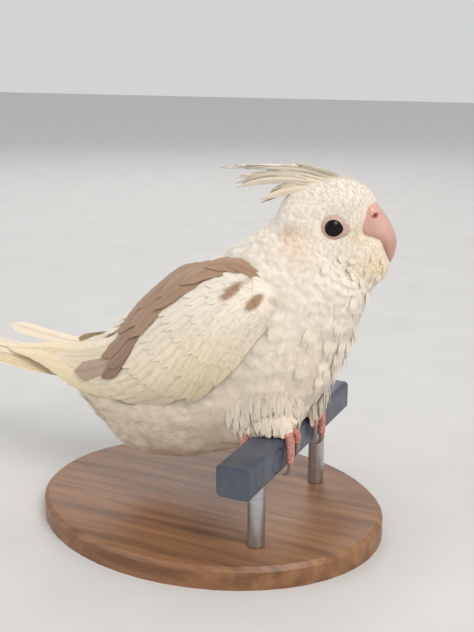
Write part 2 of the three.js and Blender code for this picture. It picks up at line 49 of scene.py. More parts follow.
# Driving sizes, the same as the solids have
MM = 0.001
PERCH = {"width": 12, "height": 11}
PERCH_TOP = 44
BIRD_X = 32
HEAD = {"place": (14.1, 2.0, 71.4), "yaw": 18}
EYE = {"y": 10.1, "radius": 4.1}
FOOT_Y = {1: 11, -1: 17}  # distance from the midline of the left foot (1) and the right foot (-1)
COAT = {"body": 2.2, "head": 1.2}  # how far the skin lies inside the outline
HEAD_MIDDLE = (0, 0, -2)
HEAD_REACH = 22  # how far the head's plumage reaches from the head's middle

TRUNK = [
    (-99, 13, -98, 4, 6),
    (-86, 18.5, -84, -3, 12),
    (-74, 25, -72, -13, 16),
    (-61, 36, -57.5, -22.5, 21.5),
    (-47, 46, -37, -21, 26.5),
    (-34, 53, -17, -14, 27.5),
    (-24, 59, 2, -4, 26.5),
    (-16, 64.5, 14, 11, 24),
    (-9, 70, 21, 26, 20.5),
    (-3, 74, 25.5, 39, 17.5),
    (3, 78, 27.5, 49.5, 14),
]
SKULL = [
    (-18.3, 1, -17, -9, 6),
    (-15.6, 7, -14, -16, 10.4),
    (-11, 11.3, -8, -20, 12.6),
    (-5, 14, -1, -22, 13.4),
    (1, 14.6, 6.5, -22.5, 12.9),
    (6, 13.4, 12.5, -21, 10.8),
    (9.6, 11.2, 16.4, -18.4, 8),
    (12, 9, 18.6, -15.8, 5.6),
    (12.8, 7.4, 18, -13.4, 3.8),
]
UPPER_BILL = [
    (10.2, 8.6, 7.5, -4.8, 6.1),
    (13.4, 6.8, 10.4, -5.4, 6.4),
    (16.9, 2.4, 13.4, -6, 6),
    (19.4, -1.8, 15.2, -7, 5),
    (20.7, -6, 16.4, -8.8, 3.7),
    (20.3, -10, 17.3, -10.9, 2.3),
    (19.2, -13, 18.2, -12.8, 0.9),
]
LOWER_BILL = [
    (8.5, -6.4, 8, -11.5, 4.9),
    (11.5, -6.8, 11, -12.6, 4.8),
    (14.2, -8.4, 13.8, -13.6, 4.2),
    (15.8, -10.4, 15.6, -14, 3),
    (16.7, -12.4, 16.6, -13.9, 1.6),
]
CERE = [
    (9.5, 7.6, 9, 1.4, 4.8),
    (11.2, 8.2, 10.2, 0.3, 5.9),
    (13.2, 7.1, 12, 0.2, 6.3),
    (14.6, 5.3, 13.7, 1, 5.3),
]
# Outline of the bare bill in the side view of the head; plumage ends at its rear edge
BARE_BILL = [
    (13.9, 7.3), (11.7, 5.4), (11.2, 1.7), (10, -1.7), (9.9, -3.6), (11.5, -4.1), (14.4, -5), (15.8, -6.8),
    (16.8, -9.6), (18.2, -15), (30, -15), (30, 7.3),
]
THIGH = [
    (-26, 8, -25, -6, 3.5),
    (-15, 17, -14, -8, 7.5),
    (-2, 17, -1, -3, 8),
    (6.5, 11.5, 6, 0.5, 6),
    (9.5, 7.5, 8.6, 2.6, 3),
]
WING = np.array([
    [(3, -19.5, 44), (4.5, -20.8, 47.5), (3, -19.5, 51)],
    [(-4, -25.5, 35), (-6, -27.4, 46), (-7, -19, 57)],
    [(-13, -28, 23), (-18, -29.8, 39), (-21, -14.5, 57.5)],
    [(-27, -27.5, 12), (-33, -29, 29), (-37, -12.5, 51.5)],
    [(-43, -25, 7.5), (-48, -25.5, 20), (-52, -10.5, 40.5)],
    [(-60, -21, 4.5), (-62, -21, 14), (-65, -9, 28)],
    [(-80, -14.5, 3), (-80, -13.5, 10.5), (-82, -6, 20.5)],
    [(-100, -11.5, 6.5), (-100, -10, 11), (-101, -4.5, 15)],
    [(-125, -8.5, 8.5), (-125, -7, 10), (-125, -3.5, 11.5)],
    [(-152, -6, 11), (-152, -4.5, 12), (-152, -3, 13)],
], float)


def lerp(a, b, t):
    return a + (b - a) * t


def fade(amount, width):
    """Rises from 0 to 1 as an amount grows from 0 to a width."""
    return np.clip(amount / width, 0, 1)


def linear(red, green, blue):
    """A colour given in everyday 0 to 255 steps as linear light."""
    out = []
    for value in (red, green, blue):
        value /= 255
        out.append(value / 12.92 if value < 0.04045 else ((value + 0.055) / 1.055) ** 2.4)
    return np.array(out)


WHITE = linear(243, 233, 219)
CREAM = linear(238, 222, 200)
YELLOW = linear(236, 216, 172)
WING_CREAM = linear(232, 215, 188)
BUFF = linear(218, 192, 162)
BROWN = linear(176, 142, 114)
DEEP_BROWN = linear(126, 96, 74)


def unit(v):
    v = np.asarray(v, float)
    return v / np.maximum(np.linalg.norm(v, axis=-1, keepdims=True), 1e-9)


def spline(stations, at):
    """Values between stations on a smooth curve; at is an array of station numbers."""
    stations = np.asarray(stations, float)
    at = np.asarray(at, float)
    last = len(stations) - 1
    i = np.clip(np.floor(at).astype(int), 0, last - 1)
    t = at - i
    ext = np.concatenate([[2 * stations[0] - stations[1]], stations, [2 * stations[-1] - stations[-2]]])
    a, b, c, d = ext[i], ext[i + 1], ext[i + 2], ext[i + 3]
    t = t.reshape(t.shape + (1,) * (b.ndim - t.ndim))
    return 0.5 * (2 * b + (c - a) * t + (2 * a - 5 * b + 4 * c - d) * t**2 + (3 * b - a - 3 * c + d) * t**3)


def section_rings(sections, rings, sides, grow=0.0, fullness=2.15):
    """Rings of points round a body whose sections run between a top and a bottom point."""
    station = np.linspace(0, len(sections) - 1, rings)
    value = spline(sections, station)
    top = np.stack([value[:, 0], 0 * station, value[:, 1]], -1)
    bottom = np.stack([value[:, 2], 0 * station, value[:, 3]], -1)
    up = unit(top - bottom)
    high = np.linalg.norm(top - bottom, axis=1) / 2 + grow
    wide = value[:, 4] + grow
    angle = 2 * np.pi * np.arange(sides) / sides
    waves = np.stack([np.sin(angle), np.cos(angle)])
    across, along = np.sign(waves) * np.abs(waves) ** (2 / fullness)
    middle = (top + bottom) / 2
    out = middle[:, None] + up[:, None] * (high[:, None] * along)[..., None]
    out[..., 1] += wide[:, None] * across
    return out


def grid_faces(rows, columns, closed=False):
    """Quads between rows of points that run round; closed joins the last row to the first."""
    quads = []
    for i in range(rows if closed else rows - 1):
        for j in range(columns):
            k, m = (i + 1) % rows, (j + 1) % columns
            quads.append((i * columns + j, k * columns + j, k * columns + m, i * columns + m))
    return quads


def ring_faces(rings, sides):
    """Quads round a stack of rings, then a fan of triangles at each end to its middle point."""
    start, end = rings * sides, rings * sides + 1
    base = (rings - 1) * sides
    caps = [(start, j, (j + 1) % sides) for j in range(sides)]
    caps += [(end, base + (j + 1) % sides, base + j) for j in range(sides)]
    return grid_faces(rings, sides) + caps


def loft_points(grid):
    flat = grid.reshape(-1, 3)
    return np.concatenate([flat, grid[0].mean(0)[None], grid[-1].mean(0)[None]])


yaw = math.radians(HEAD["yaw"])
HEAD_TURN = np.array([[math.cos(yaw), -math.sin(yaw), 0], [math.sin(yaw), math.cos(yaw), 0], [0, 0, 1]])


def on_head(points):
    return np.asarray(points, float) @ HEAD_TURN.T + HEAD["place"]


def in_head(points):
    return (np.asarray(points, float) - HEAD["place"]) @ HEAD_TURN


def to_world(points):
    return (np.asarray(points, float) + (BIRD_X, 0, PERCH_TOP)) * MM


def link(obj):
    bpy.context.scene.collection.objects.link(obj)
    return obj


def plain_mesh(name, points, faces, material=None):
    """A smooth object from points in the bird's frame."""
    mesh = bpy.data.meshes.new(name)
    mesh.from_pydata([tuple(p) for p in to_world(points)], [], [tuple(map(int, f)) for f in faces])
    mesh.update()
    if material:
        mesh.materials.append(material)
    mesh.shade_smooth()
    return link(bpy.data.objects.new(name, mesh))


def apply_modifiers(obj):
    """Keeps the object's shape as its modifiers leave it, and drops them."""
    graph = bpy.context.evaluated_depsgraph_get()
    mesh = bpy.data.meshes.new_from_object(obj.evaluated_get(graph))
    obj.modifiers.clear()
    old = obj.data
    obj.data = mesh
    bpy.data.meshes.remove(old)


def join(name, objects):
    """One object from several."""
    bpy.ops.object.select_all(action="DESELECT")
    for obj in objects:
        obj.select_set(True)
    bpy.context.view_layer.objects.active = objects[0]
    bpy.ops.object.join()
    objects[0].name = name
    return objects[0]


def set_tint(mesh, colours):
    """Stores a colour for each point."""
    layer = mesh.attributes.new("tint", "FLOAT_COLOR", "POINT")
    rgba = np.concatenate([colours, np.ones((len(colours), 1))], 1)
    layer.data.foreach_set("color", rgba.astype(np.float32).ravel())


def set_one_tint(obj, red, green, blue):
    set_tint(obj.data, np.tile(linear(red, green, blue), (len(obj.data.vertices), 1)))


def mesh_points(obj):
    """The object's points in the bird's frame."""
    out = np.empty(len(obj.data.vertices) * 3, np.float32)
    obj.data.vertices.foreach_get("co", out)
    return out.reshape(-1, 3).astype(float) / MM - (BIRD_X, 0, PERCH_TOP)


def mesh_normals(obj):
    out = np.empty(len(obj.data.vertices) * 3, np.float32)
    obj.data.vertices.foreach_get("normal", out)
    return out.reshape(-1, 3)


def move_points(obj, points):
    obj.data.vertices.foreach_set("co", to_world(points).astype(np.float32).ravel())
    obj.data.update()


def place_tree(places):
    """A search tree over places, numbered in their order."""
    tree = KDTree(len(places))
    for i, place in enumerate(places):
        tree.insert(place, i)
    tree.balance()
    return tree


# Materials
PLAIN = (1.0, 1.0, 1.0)


def set_inputs(node, values):
    for name, value in values.items():
        node.inputs[name].default_value = value


def new_material(name, values):
    """A material, its nodes and its shader, whose plain inputs have the given values."""
    material = bpy.data.materials.new(name)
    material.use_nodes = True
    tree = material.node_tree
    shader = tree.nodes["Principled BSDF"]
    set_inputs(shader, values)
    return material, tree, shader


def object_place(tree):
    return tree.nodes.new("ShaderNodeTexCoord").outputs["Object"]


def stretched(tree, place, scale):
    """Coordinates drawn out or pressed together along each direction."""
    node = tree.nodes.new("ShaderNodeMapping")
    node.inputs["Scale"].default_value = scale
    tree.links.new(place, node.inputs["Vector"])
    return node.outputs["Vector"]


def noise(tree, scale, detail, place=None, roughness=0.55):
    """A cloudy pattern from 0 to 1 over the object's own space, or over the given coordinates."""
    node = tree.nodes.new("ShaderNodeTexNoise")
    set_inputs(node, {"Scale": scale, "Detail": detail, "Roughness": roughness})
    tree.links.new(place or object_place(tree), node.inputs["Vector"])
    return node.outputs["Fac"]


def ramp(tree, source, stops):
    """Colours between stops, each a value of the source and its colour."""
    node = tree.nodes.new("ShaderNodeValToRGB")
    while len(node.color_ramp.elements) < len(stops):
        node.color_ramp.elements.new(0.5)
    for element, (place, colour) in zip(node.color_ramp.elements, stops):
        element.position = place
        element.color = (*colour, 1)
    tree.links.new(source, node.inputs["Fac"])
    return node.outputs["Color"]


def bump(tree, shader, source, strength, distance):
    node = tree.nodes.new("ShaderNodeBump")
    set_inputs(node, {"Strength": strength, "Distance": distance})
    tree.links.new(source, node.inputs["Height"])
    tree.links.new(node.outputs["Normal"], shader.inputs["Normal"])


def coloured(tree, shader, source, stops):
    tree.links.new(ramp(tree, source, stops), shader.inputs["Base Color"])


def tinted(tree, shader, source, stops):
    """Each point's own tint, darkened by a ramp over the source."""
    tint = tree.nodes.new("ShaderNodeAttribute")
    tint.attribute_name = "tint"
    node = tree.nodes.new("ShaderNodeMix")
    node.data_type = "RGBA"
    node.blend_type = "MULTIPLY"
    node.inputs["Factor"].default_value = 1.0
    tree.links.new(tint.outputs["Color"], node.inputs["A"])
    tree.links.new(ramp(tree, source, stops), node.inputs["B"])
    tree.links.new(node.outputs["Result"], shader.inputs["Base Color"])


def plumage_material(name, contrast, barbs):
    """Feathers: each point's own tint, faint mottling, and barbs that run out from each shaft."""
    material, tree, shader = new_material(name, {
        "Roughness": 0.8, "Specular IOR Level": 0.2, "Subsurface Weight": 0.25,
        "Subsurface Radius": (0.0015, 0.0015, 0.0015), "Sheen Weight": 0.2, "Sheen Roughness": 0.6,
    })
    tinted(tree, shader, noise(tree, 420, 3), [(0.3, (1 - contrast,) * 3), (0.7, PLAIN)])
    vane = tree.nodes.new("ShaderNodeUVMap")
    vane.uv_map = "Vane"
    streaks = noise(tree, 2.4, 2, stretched(tree, vane.outputs["UV"], barbs))
    bump(tree, shader, streaks, 0.35, 0.0003)
    return material


def skin_material():
    material, tree, shader = new_material("down_over_skin", {"Roughness": 0.9})
    fine = noise(tree, 900, 4)
    tinted(tree, shader, fine, [(0.3, (0.84, 0.82, 0.8)), (0.7, PLAIN)])
    bump(tree, shader, fine, 0.6, 0.0006)
    return material


def horn_material(name, deep, roughness):
    """Bill and claw horn: growth bands, faint flakes and a soft gloss."""
    material, tree, shader = new_material(name, {
        "Roughness": roughness, "Coat Weight": 0.15, "Subsurface Weight": 0.12,
        "Subsurface Radius": (0.002, 0.001, 0.0007),
    })
    tinted(tree, shader, noise(tree, 260, 4), [(0.25, deep), (0.75, PLAIN)])
    bump(tree, shader, noise(tree, 700, 4), 0.16, 0.0004)
    return material


def foot_material():
    """Scaled pink skin, with painted shade darkening the creases between the scutes."""
    material, tree, shader = new_material("scaled_pink_skin", {
        "Roughness": 0.5, "Subsurface Weight": 0.1, "Subsurface Radius": (0.002, 0.0008, 0.0006),
    })
    node = tree.nodes.new("ShaderNodeTexVoronoi")
    node.inputs["Scale"].default_value = 1150
    tree.links.new(object_place(tree), node.inputs["Vector"])
    scales = node.outputs["Distance"]
    coloured(tree, shader, scales, [(0.0, linear(226, 166, 154)), (0.7, linear(176, 110, 102))])
    bump(tree, shader, scales, -0.5, 0.0003)
    return material


def lid_material():
    material, tree, shader = new_material("bare_eye_ring", {"Roughness": 0.55})
    fine = noise(tree, 1900, 3)
    coloured(tree, shader, fine, [(0.3, linear(176, 146, 134)), (0.7, linear(206, 176, 162))])
    bump(tree, shader, fine, 0.5, 0.0002)
    return material


def nostril_material():
    material, tree, shader = new_material("nostril_red", {"Roughness": 0.7})
    coloured(tree, shader, noise(tree, 1500, 2), [(0.3, linear(84, 34, 36)), (0.7, linear(120, 56, 56))])
    return material


def eye_material():
    """A near-black iris and pupil under a wet clear surface."""
    material, tree, shader = new_material("eye_dark_wet", {"Roughness": 0.04, "Specular IOR Level": 0.16})
    tones = [(0.35, (0.004, 0.003, 0.003)), (0.8, (0.02, 0.011, 0.008))]
    coloured(tree, shader, noise(tree, 2600, 3), tones)
    return material


def paint_material():
    """Old satin paint on metal, with worn patches and fine orange peel."""
    material, tree, shader = new_material("bar_paint", {"Specular IOR Level": 0.5})
    coloured(tree, shader, noise(tree, 75, 5), [(0.32, linear(62, 68, 82)), (0.7, linear(84, 90, 104))])
    rough = ramp(tree, noise(tree, 160, 4), [(0.3, (0.26,) * 3), (0.7, (0.46,) * 3)])
    tree.links.new(rough, shader.inputs["Roughness"])
    bump(tree, shader, noise(tree, 900, 3), 0.12, 0.0003)
    return material


def wood_material():
    """Oiled wood with long grain and pores."""
    material, tree, shader = new_material("oiled_wood", {"Roughness": 0.42})
    place = stretched(tree, object_place(tree), (4.0, 60.0, 40.0))
    tones = [(0.3, linear(92, 60, 38)), (0.5, linear(134, 92, 60)), (0.72, linear(160, 116, 78))]
    coloured(tree, shader, noise(tree, 3.2, 6, place, 0.65), tones)
    bump(tree, shader, noise(tree, 12, 4, place, 0.7), 0.25, 0.0004)
    return material


def steel_material():
    material, tree, shader = new_material("brushed_steel", {"Metallic": 1.0, "Roughness": 0.34})
    lines = noise(tree, 3.0, 3, stretched(tree, object_place(tree), (30.0, 30.0, 900.0)))
    coloured(tree, shader, lines, [(0.3, (0.42, 0.43, 0.44)), (0.7, (0.62, 0.63, 0.64))])
    bump(tree, shader, lines, 0.12, 0.0002)
    return material


def floor_material():
    material, tree, shader = new_material("pale_floor", {"Roughness": 0.85})
    coloured(tree, shader, noise(tree, 30, 4), [(0.3, (0.62, 0.61, 0.6)), (0.7, (0.66, 0.65, 0.64))])
    return material


SMALL_FEATHER = plumage_material("body_plumage", 0.07, (5.0, 0.8, 1.0))
LARGE_FEATHER = plumage_material("vane_plumage", 0.08, (9.0, 1.6, 1.0))
SKIN_DOWN = skin_material()
BILL_HORN = horn_material("bill_horn", (0.86, 0.8, 0.78), 0.36)
CLAW_HORN = horn_material("claw_horn", (0.8, 0.78, 0.76), 0.3)
FOOT_SKIN = foot_material()
EYE_RING = lid_material()
NOSTRIL = nostril_material()
EYE_GLOSS = eye_material()
BAR_PAINT = paint_material()
WOOD = wood_material()
STEEL = steel_material()


# Wing surface of the right side, from its lower edge v = -1 to its upper edge v = 1
def wing_surface(u, v):
    u, v = np.broadcast_arrays(np.asarray(u, float), np.asarray(v, float))
    low, middle, high = (spline(WING[:, k], u) for k in range(3))
    v = v[..., None]
    return low * v * (v - 1) / 2 + middle * (1 - v * v) + high * v * (v + 1) / 2


def wing_frame(u, v):
    """Places on the wing and the direction straight out of it there."""
    step = 0.01
    along_u = wing_surface(u + step, v) - wing_surface(u - step, v)
    along_v = wing_surface(u, v + step) - wing_surface(u, v - step)
    return wing_surface(u, v), unit(np.cross(along_v, along_u))


# Brown spots near the wrist: middle, half length and half width in the side view, lean in degrees, strength
WING_SPOTS = [
    (-10.6, 51.0, 4.2, 1.7, 42, 1.0), (-2.4, 48.2, 3.0, 1.7, 52, 1.0), (-6.6, 54.2, 2.4, 1.0, 35, 0.5),
    (3.2, 48.0, 2.4, 1.1, -35, 0.45),
]
# Tints of the head on either side: colour, share at its middle, middle in the head's frame and reach
HEAD_TINTS = [
    (YELLOW, 0.75, (14, 5, -13), 5.5),  # chin
    (YELLOW, 0.45, (9.5, 7.5, -3), 4),  # beside the bill
    (BUFF, 0.75, (-11.5, 12.5, -1), 2.6),  # smudge behind the eye
    (linear(232, 200, 170), 0.5, (-8, 13, -5), 5),  # cheek
]
SPOT_BROWN = linear(168, 136, 108)


def spot_share(x, z):
    """How much of the wing's brown spots covers places in the side view, from 0 to 1."""
    best = np.zeros(np.shape(x))
    for middle_x, middle_z, long, wide, lean, strength in WING_SPOTS:
        turn = math.radians(lean)
        a = ((x - middle_x) * math.cos(turn) + (z - middle_z) * math.sin(turn)) / long
        b = ((z - middle_z) * math.cos(turn) - (x - middle_x) * math.sin(turn)) / wide
        best = np.maximum(best, strength * np.clip((1.25 - np.hypot(a, b)) * 2.2, 0, 1))
    return best


def blob(points, centre, radius):
    away = np.linalg.norm(points - np.asarray(centre, float), axis=-1)
    return np.exp(-((away / radius) ** 2))


def mixed(colour, other, share):
    share = np.asarray(share)[..., None]
    return colour * (1 - share) + other * share


def plumage_colour(points):
    """Body and head plumage by place, in the bird's frame, with painted shade on the underside."""
    points = np.asarray(points, float)
    x, y, z = points[:, 0], points[:, 1], points[:, 2]
    colour = np.tile(WHITE, (len(points), 1))
    colour = mixed(colour, CREAM, fade(58 - z, 60))
    # Buff towards the underside is painted shade, darker towards the bottom.
    colour = mixed(colour, BUFF, 0.45 * fade(4 - z, 26))
    colour = mixed(colour, YELLOW, 0.35 * fade(-52 - x, 30))
    head = in_head(points)
    head[:, 1] = np.abs(head[:, 1])
    for tint, share, middle, reach in HEAD_TINTS:
        colour = mixed(colour, tint, share * blob(head, middle, reach))
    streak = np.clip(1 - np.abs(z - 66 - 0.4 * (x + 14)) / 4, 0, 1) * np.clip(1 - np.abs(x + 17) / 8, 0, 1)
    return mixed(colour, BUFF, 0.8 * streak * (y < -3))


def wing_colour(points):
    """Wing plumage by place: cream, paler above, yellower low in front, buff towards the bottom as painted
    shade, with small brown spots.
    """
    points = np.asarray(points, float)
    x, z = points[:, 0], points[:, 2]
    colour = mixed(np.tile(WING_CREAM, (len(points), 1)), WHITE, 0.75 * fade(z - 18, 30))
    low = fade(40 - z, 14) * np.clip(1 - np.abs(x + 18) / 18, 0, 1)
    colour = mixed(colour, YELLOW, 0.55 * low)
    # Buff towards the wing's lower edge is painted shade.
    colour = mixed(colour, BUFF, 0.3 * fade(16 - z, 12))
    return mixed(colour, SPOT_BROWN, spot_share(x, z))


class Coat:
    """Feathers as one mesh: points, triangles, facings, tints, and the two maps of each feather."""

    def __init__(self):
        self.points, self.faces, self.tints, self.vane, self.bake, self.normals = [], [], [], [], [], []
        self.count = 0

    def add(self, points, faces, tints, vane, bake, normals):
        self.faces.append(faces + self.count)
        self.points.append(points)
        self.normals.append(normals)
        self.tints.append(tints)
        self.vane.append(vane)
        self.bake.append(bake)
        self.count += len(points)

    def build(self, name, material):
        points = to_world(np.concatenate(self.points))
        faces = np.concatenate(self.faces).astype(np.int32)
        mesh = bpy.data.meshes.new(name)
        mesh.vertices.add(len(points))
        mesh.vertices.foreach_set("co", points.astype(np.float32).ravel())
        mesh.loops.add(len(faces) * 3)
        mesh.loops.foreach_set("vertex_index", faces.ravel())
        mesh.polygons.add(len(faces))
        mesh.polygons.foreach_set("loop_start", np.arange(0, len(faces) * 3, 3, dtype=np.int32))
        mesh.update(calc_edges=True)
        set_tint(mesh, np.concatenate(self.tints))
        for label, values in (("OFBake", self.bake), ("Vane", self.vane)):
            layer = mesh.uv_layers.new(name=label)
            layer.data.foreach_set("uv", np.concatenate(values)[faces.ravel()].astype(np.float32).ravel())
        mesh.materials.append(material)
        mesh.shade_smooth()
        mesh.normals_split_custom_set_from_vertices(unit(np.concatenate(self.normals)).astype(np.float32))
        obj = link(bpy.data.objects.new(name, mesh))
        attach(obj, "root")
        return obj


# The two forms that the skin is made of: sections, depth of the coat over them, and what places them
SKIN_FORMS = {
    "trunk": (TRUNK, COAT["body"], np.asarray),
    "skull": (SKULL, COAT["head"], on_head),
}
THIGH_Y = {1: FOOT_Y[1] + 1, -1: FOOT_Y[-1] - 2}
# Swells and dips of the face on either side: how far out, middle in the head's frame and reach
FACE_SWELLS = [
    (0.75, (0.5, 11, 6.5), 5.0),  # brow
    (-0.85, (0.5, 13.5, 0.3), 3.9),  # eye hollow
    (-0.7, (7.5, 10.0, 0.5), 4.2),  # lore
    (0.8, (-2.0, 13.5, -9.0), 6.5),  # cheek
    (0.9, (12.5, 4.0, -15.5), 4.5),  # chin
]
VOXEL = 0.0011


def build_skin():
    """Trunk, head and thighs as one closed form, inside the outline by the coat's depth."""
    parts = []
    for name, (sections, depth, placed) in SKIN_FORMS.items():
        points = loft_points(section_rings(sections, 60, 64, -depth))
        parts.append(plain_mesh(name, placed(points), ring_faces(60, 64)))
    for side in (1, -1):
        points = loft_points(section_rings(THIGH, 30, 32, -COAT["body"]))
        points[:, 1] += side * THIGH_Y[side]
        parts.append(plain_mesh("thigh", points, ring_faces(30, 32)))
    skin = join("skin", parts)
    remesh = skin.modifiers.new("one", "REMESH")
    remesh.mode = "VOXEL"
    remesh.voxel_size = VOXEL
    smooth = skin.modifiers.new("soft", "SMOOTH")
    smooth.factor = 0.5
    smooth.iterations = 14
    apply_modifiers(skin)
    shape_face(skin)
    puff_up(skin)
    skin.data.shade_smooth()
    return skin


def bill_gap(x, z):
    """Distance in the side view of the head from the outline of the bare bill, below zero inside it."""
    outline = np.array(BARE_BILL, float)
    best = np.full(np.shape(x), 99.0)
    inside = np.zeros(np.shape(x), bool)
    for a, b in zip(outline, np.roll(outline, -1, axis=0)):
        line = b - a
        t = np.clip(((x - a[0]) * line[0] + (z - a[1]) * line[1]) / (line @ line), 0, 1)
        best = np.minimum(best, np.hypot(x - a[0] - t * line[0], z - a[1] - t * line[1]))
        if a[1] != b[1]:
            crossing = (a[1] > z) != (b[1] > z)
            inside ^= crossing & (x < a[0] + (z - a[1]) * line[0] / line[1])
    return np.where(inside, -best, best)


def shape_face(skin):
    """Brow, eye hollow, lore and cheek as gentle swells and dips, and the face's width beside the bill."""
    points = mesh_points(skin)
    head = in_head(points)
    head[:, 1] = np.abs(head[:, 1])
    move = sum(out * blob(head, middle, reach) for out, middle, reach in FACE_SWELLS)
    full = np.maximum(fade(head[:, 2] - 4, 4), fade(-8 - head[:, 2], 10))
    full = np.maximum(full, fade(3 - head[:, 0], 10)) * fade(points[:, 2] - 36, 14)
    move += 1.5 * full * (1 - blob(head, (0.0, 13.0, 0.0), 6.0))
    head = in_head(points + mesh_normals(skin) * move[:, None])
    away = bill_gap(head[:, 0], head[:, 2])
    most = 4.7 + 1.35 * np.maximum(away, 0) + 6 * fade(-9 - head[:, 2], 3)
    face = (head[:, 0] > 2) & (np.abs(head[:, 1]) > most)
    head[face, 1] = np.sign(head[face, 1]) * most[face]
    move_points(skin, on_head(head))


def puff_up(skin):
    """Loose plumage lies in soft swells, strongest on the breast, flanks and belly."""
    points = mesh_points(skin)
    loose = fade(60 - points[:, 2], 40)
    shift = Vector((9, 3, 5))
    swell = np.array([noise_at(Vector(p) / 11) + 0.5 * noise_at(Vector(p) / 5 + shift) for p in points])
    move_points(skin, points + mesh_normals(skin) * (0.9 * loose * swell)[:, None])


skin = build_skin()
set_tint(skin.data, plumage_colour(mesh_points(skin)) * 0.93)
skin.data.materials.append(SKIN_DOWN)
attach(skin, "root")
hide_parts("torso", "neck", "head")

skin_tree = BVHTree.FromPolygons(
    [Vector(p) for p in mesh_points(skin)], [tuple(p.vertices) for p in skin.data.polygons]
)


class Lie:
    """The lie of the coat and its bake map, both read from the body's own sections."""

    def __init__(self):
        places, ways, maps = [], [], []
        for (sections, depth, placed), spread in zip(SKIN_FORMS.values(), ((0.02, 0.6), (0.64, 0.98))):
            grid = section_rings(sections, 90, 72, -depth)
            grid = placed(grid.reshape(-1, 3)).reshape(grid.shape)
            way = -np.gradient(grid, axis=0)
            s, a = np.meshgrid(np.linspace(*spread, 90), np.linspace(0.02, 0.98, 72), indexing="ij")
            places.append(grid.reshape(-1, 3))
            ways.append(unit(way.reshape(-1, 3)))
            maps.append(np.stack([s, a], -1).reshape(-1, 2))
        self.ways = np.concatenate(ways)
        self.maps = np.concatenate(maps)
        self.tree = place_tree(np.concatenate(places))

    def at(self, point):
        """The way that feathers lie at a point, and its place on the bake map."""
        found = self.tree.find_n(point, 8)
        weights = np.array([1 / (0.6 + d) for _, _, d in found])
        picks = [i for _, i, _ in found]
        return unit((self.ways[picks] * weights[:, None]).sum(0)), self.maps[picks[0]]


lie = Lie()

NEIGHBOURS = list(product((-1, 0, 1), repeat=3))
CELL = 4.0  # wider than any spacing between feathers


def crowded(p, gap, key, cells):
    """Whether a kept place in the cells round key lies nearer to p than the gap."""
    for dx, dy, dz in NEIGHBOURS:
        for q in cells.get((key[0] + dx, key[1] + dy, key[2] + dz), ()):
            if (p[0] - q[0]) ** 2 + (p[1] - q[1]) ** 2 + (p[2] - q[2]) ** 2 < gap**2:
                return True
    return False


def scatter(obj, spacing, limit):
    """Places on the skin, no two nearer than spacing(point) gives, with their normals."""
    mesh = obj.data
    mesh.calc_loop_triangles()
    corners = np.empty(len(mesh.loop_triangles) * 3, np.int32)
    mesh.loop_triangles.foreach_get("vertices", corners)
    points = mesh_points(obj)
    tri = points[corners.reshape(-1, 3)]
    cross = np.cross(tri[:, 1] - tri[:, 0], tri[:, 2] - tri[:, 0])
    area = np.linalg.norm(cross, axis=1)
    pick = rng.choice(len(tri), limit, p=area / area.sum())
    a, b = rng.random(limit), rng.random(limit)
    flip = a + b > 1
    a[flip], b[flip] = 1 - a[flip], 1 - b[flip]
    one, two, three = tri[pick, 0], tri[pick, 1], tri[pick, 2]
    places = one + a[:, None] * (two - one) + b[:, None] * (three - one)
    normals = unit(cross)[pick]
    gaps = spacing(places)
    cells, kept = {}, []
    for i in range(limit):
        key = tuple(np.floor(places[i] / CELL).astype(int))
        if gaps[i] > 0 and not crowded(places[i], gaps[i], key, cells):
            cells.setdefault(key, []).append(places[i])
            kept.append(i)
    return places[kept], normals[kept]


def frayed_template(seed, strips=7):
    """A small feather with a comb of fine strands as its tip: x across, y along from 0 to 1, z its lift."""
    draw = np.random.default_rng(seed)
    across = np.linspace(-1, 1, strips + 1)
    rows = [(0.0, 0.35), (0.3, 0.95), (0.58, 1.0)]
    points = [(c * wide, y - 0.09 * abs(c) * y, 0.0) for y, wide in rows for c in across]
    faces = []
    for r in range(len(rows) - 1):
        for c in range(strips):
            a = r * (strips + 1) + c
            b = a + strips + 1
            faces += [(a, a + 1, b + 1), (a, b + 1, b)]
    base = (len(rows) - 1) * (strips + 1)
    for c in range(strips):
        middle = (across[c] + across[c + 1]) / 2
        reach = 1.0 - 0.3 * abs(middle) ** 1.8 - draw.uniform(0, 0.16)
        points.append((middle * 0.92 + draw.uniform(-0.1, 0.1), reach, draw.uniform(-0.04, 0.04)))
        faces.append((base + c, base + c + 1, len(points) - 1))
    return np.array(points), np.array(faces)


TEMPLATES = [frayed_template(seed) for seed in range(6)]

TURN_JITTER = 0.13


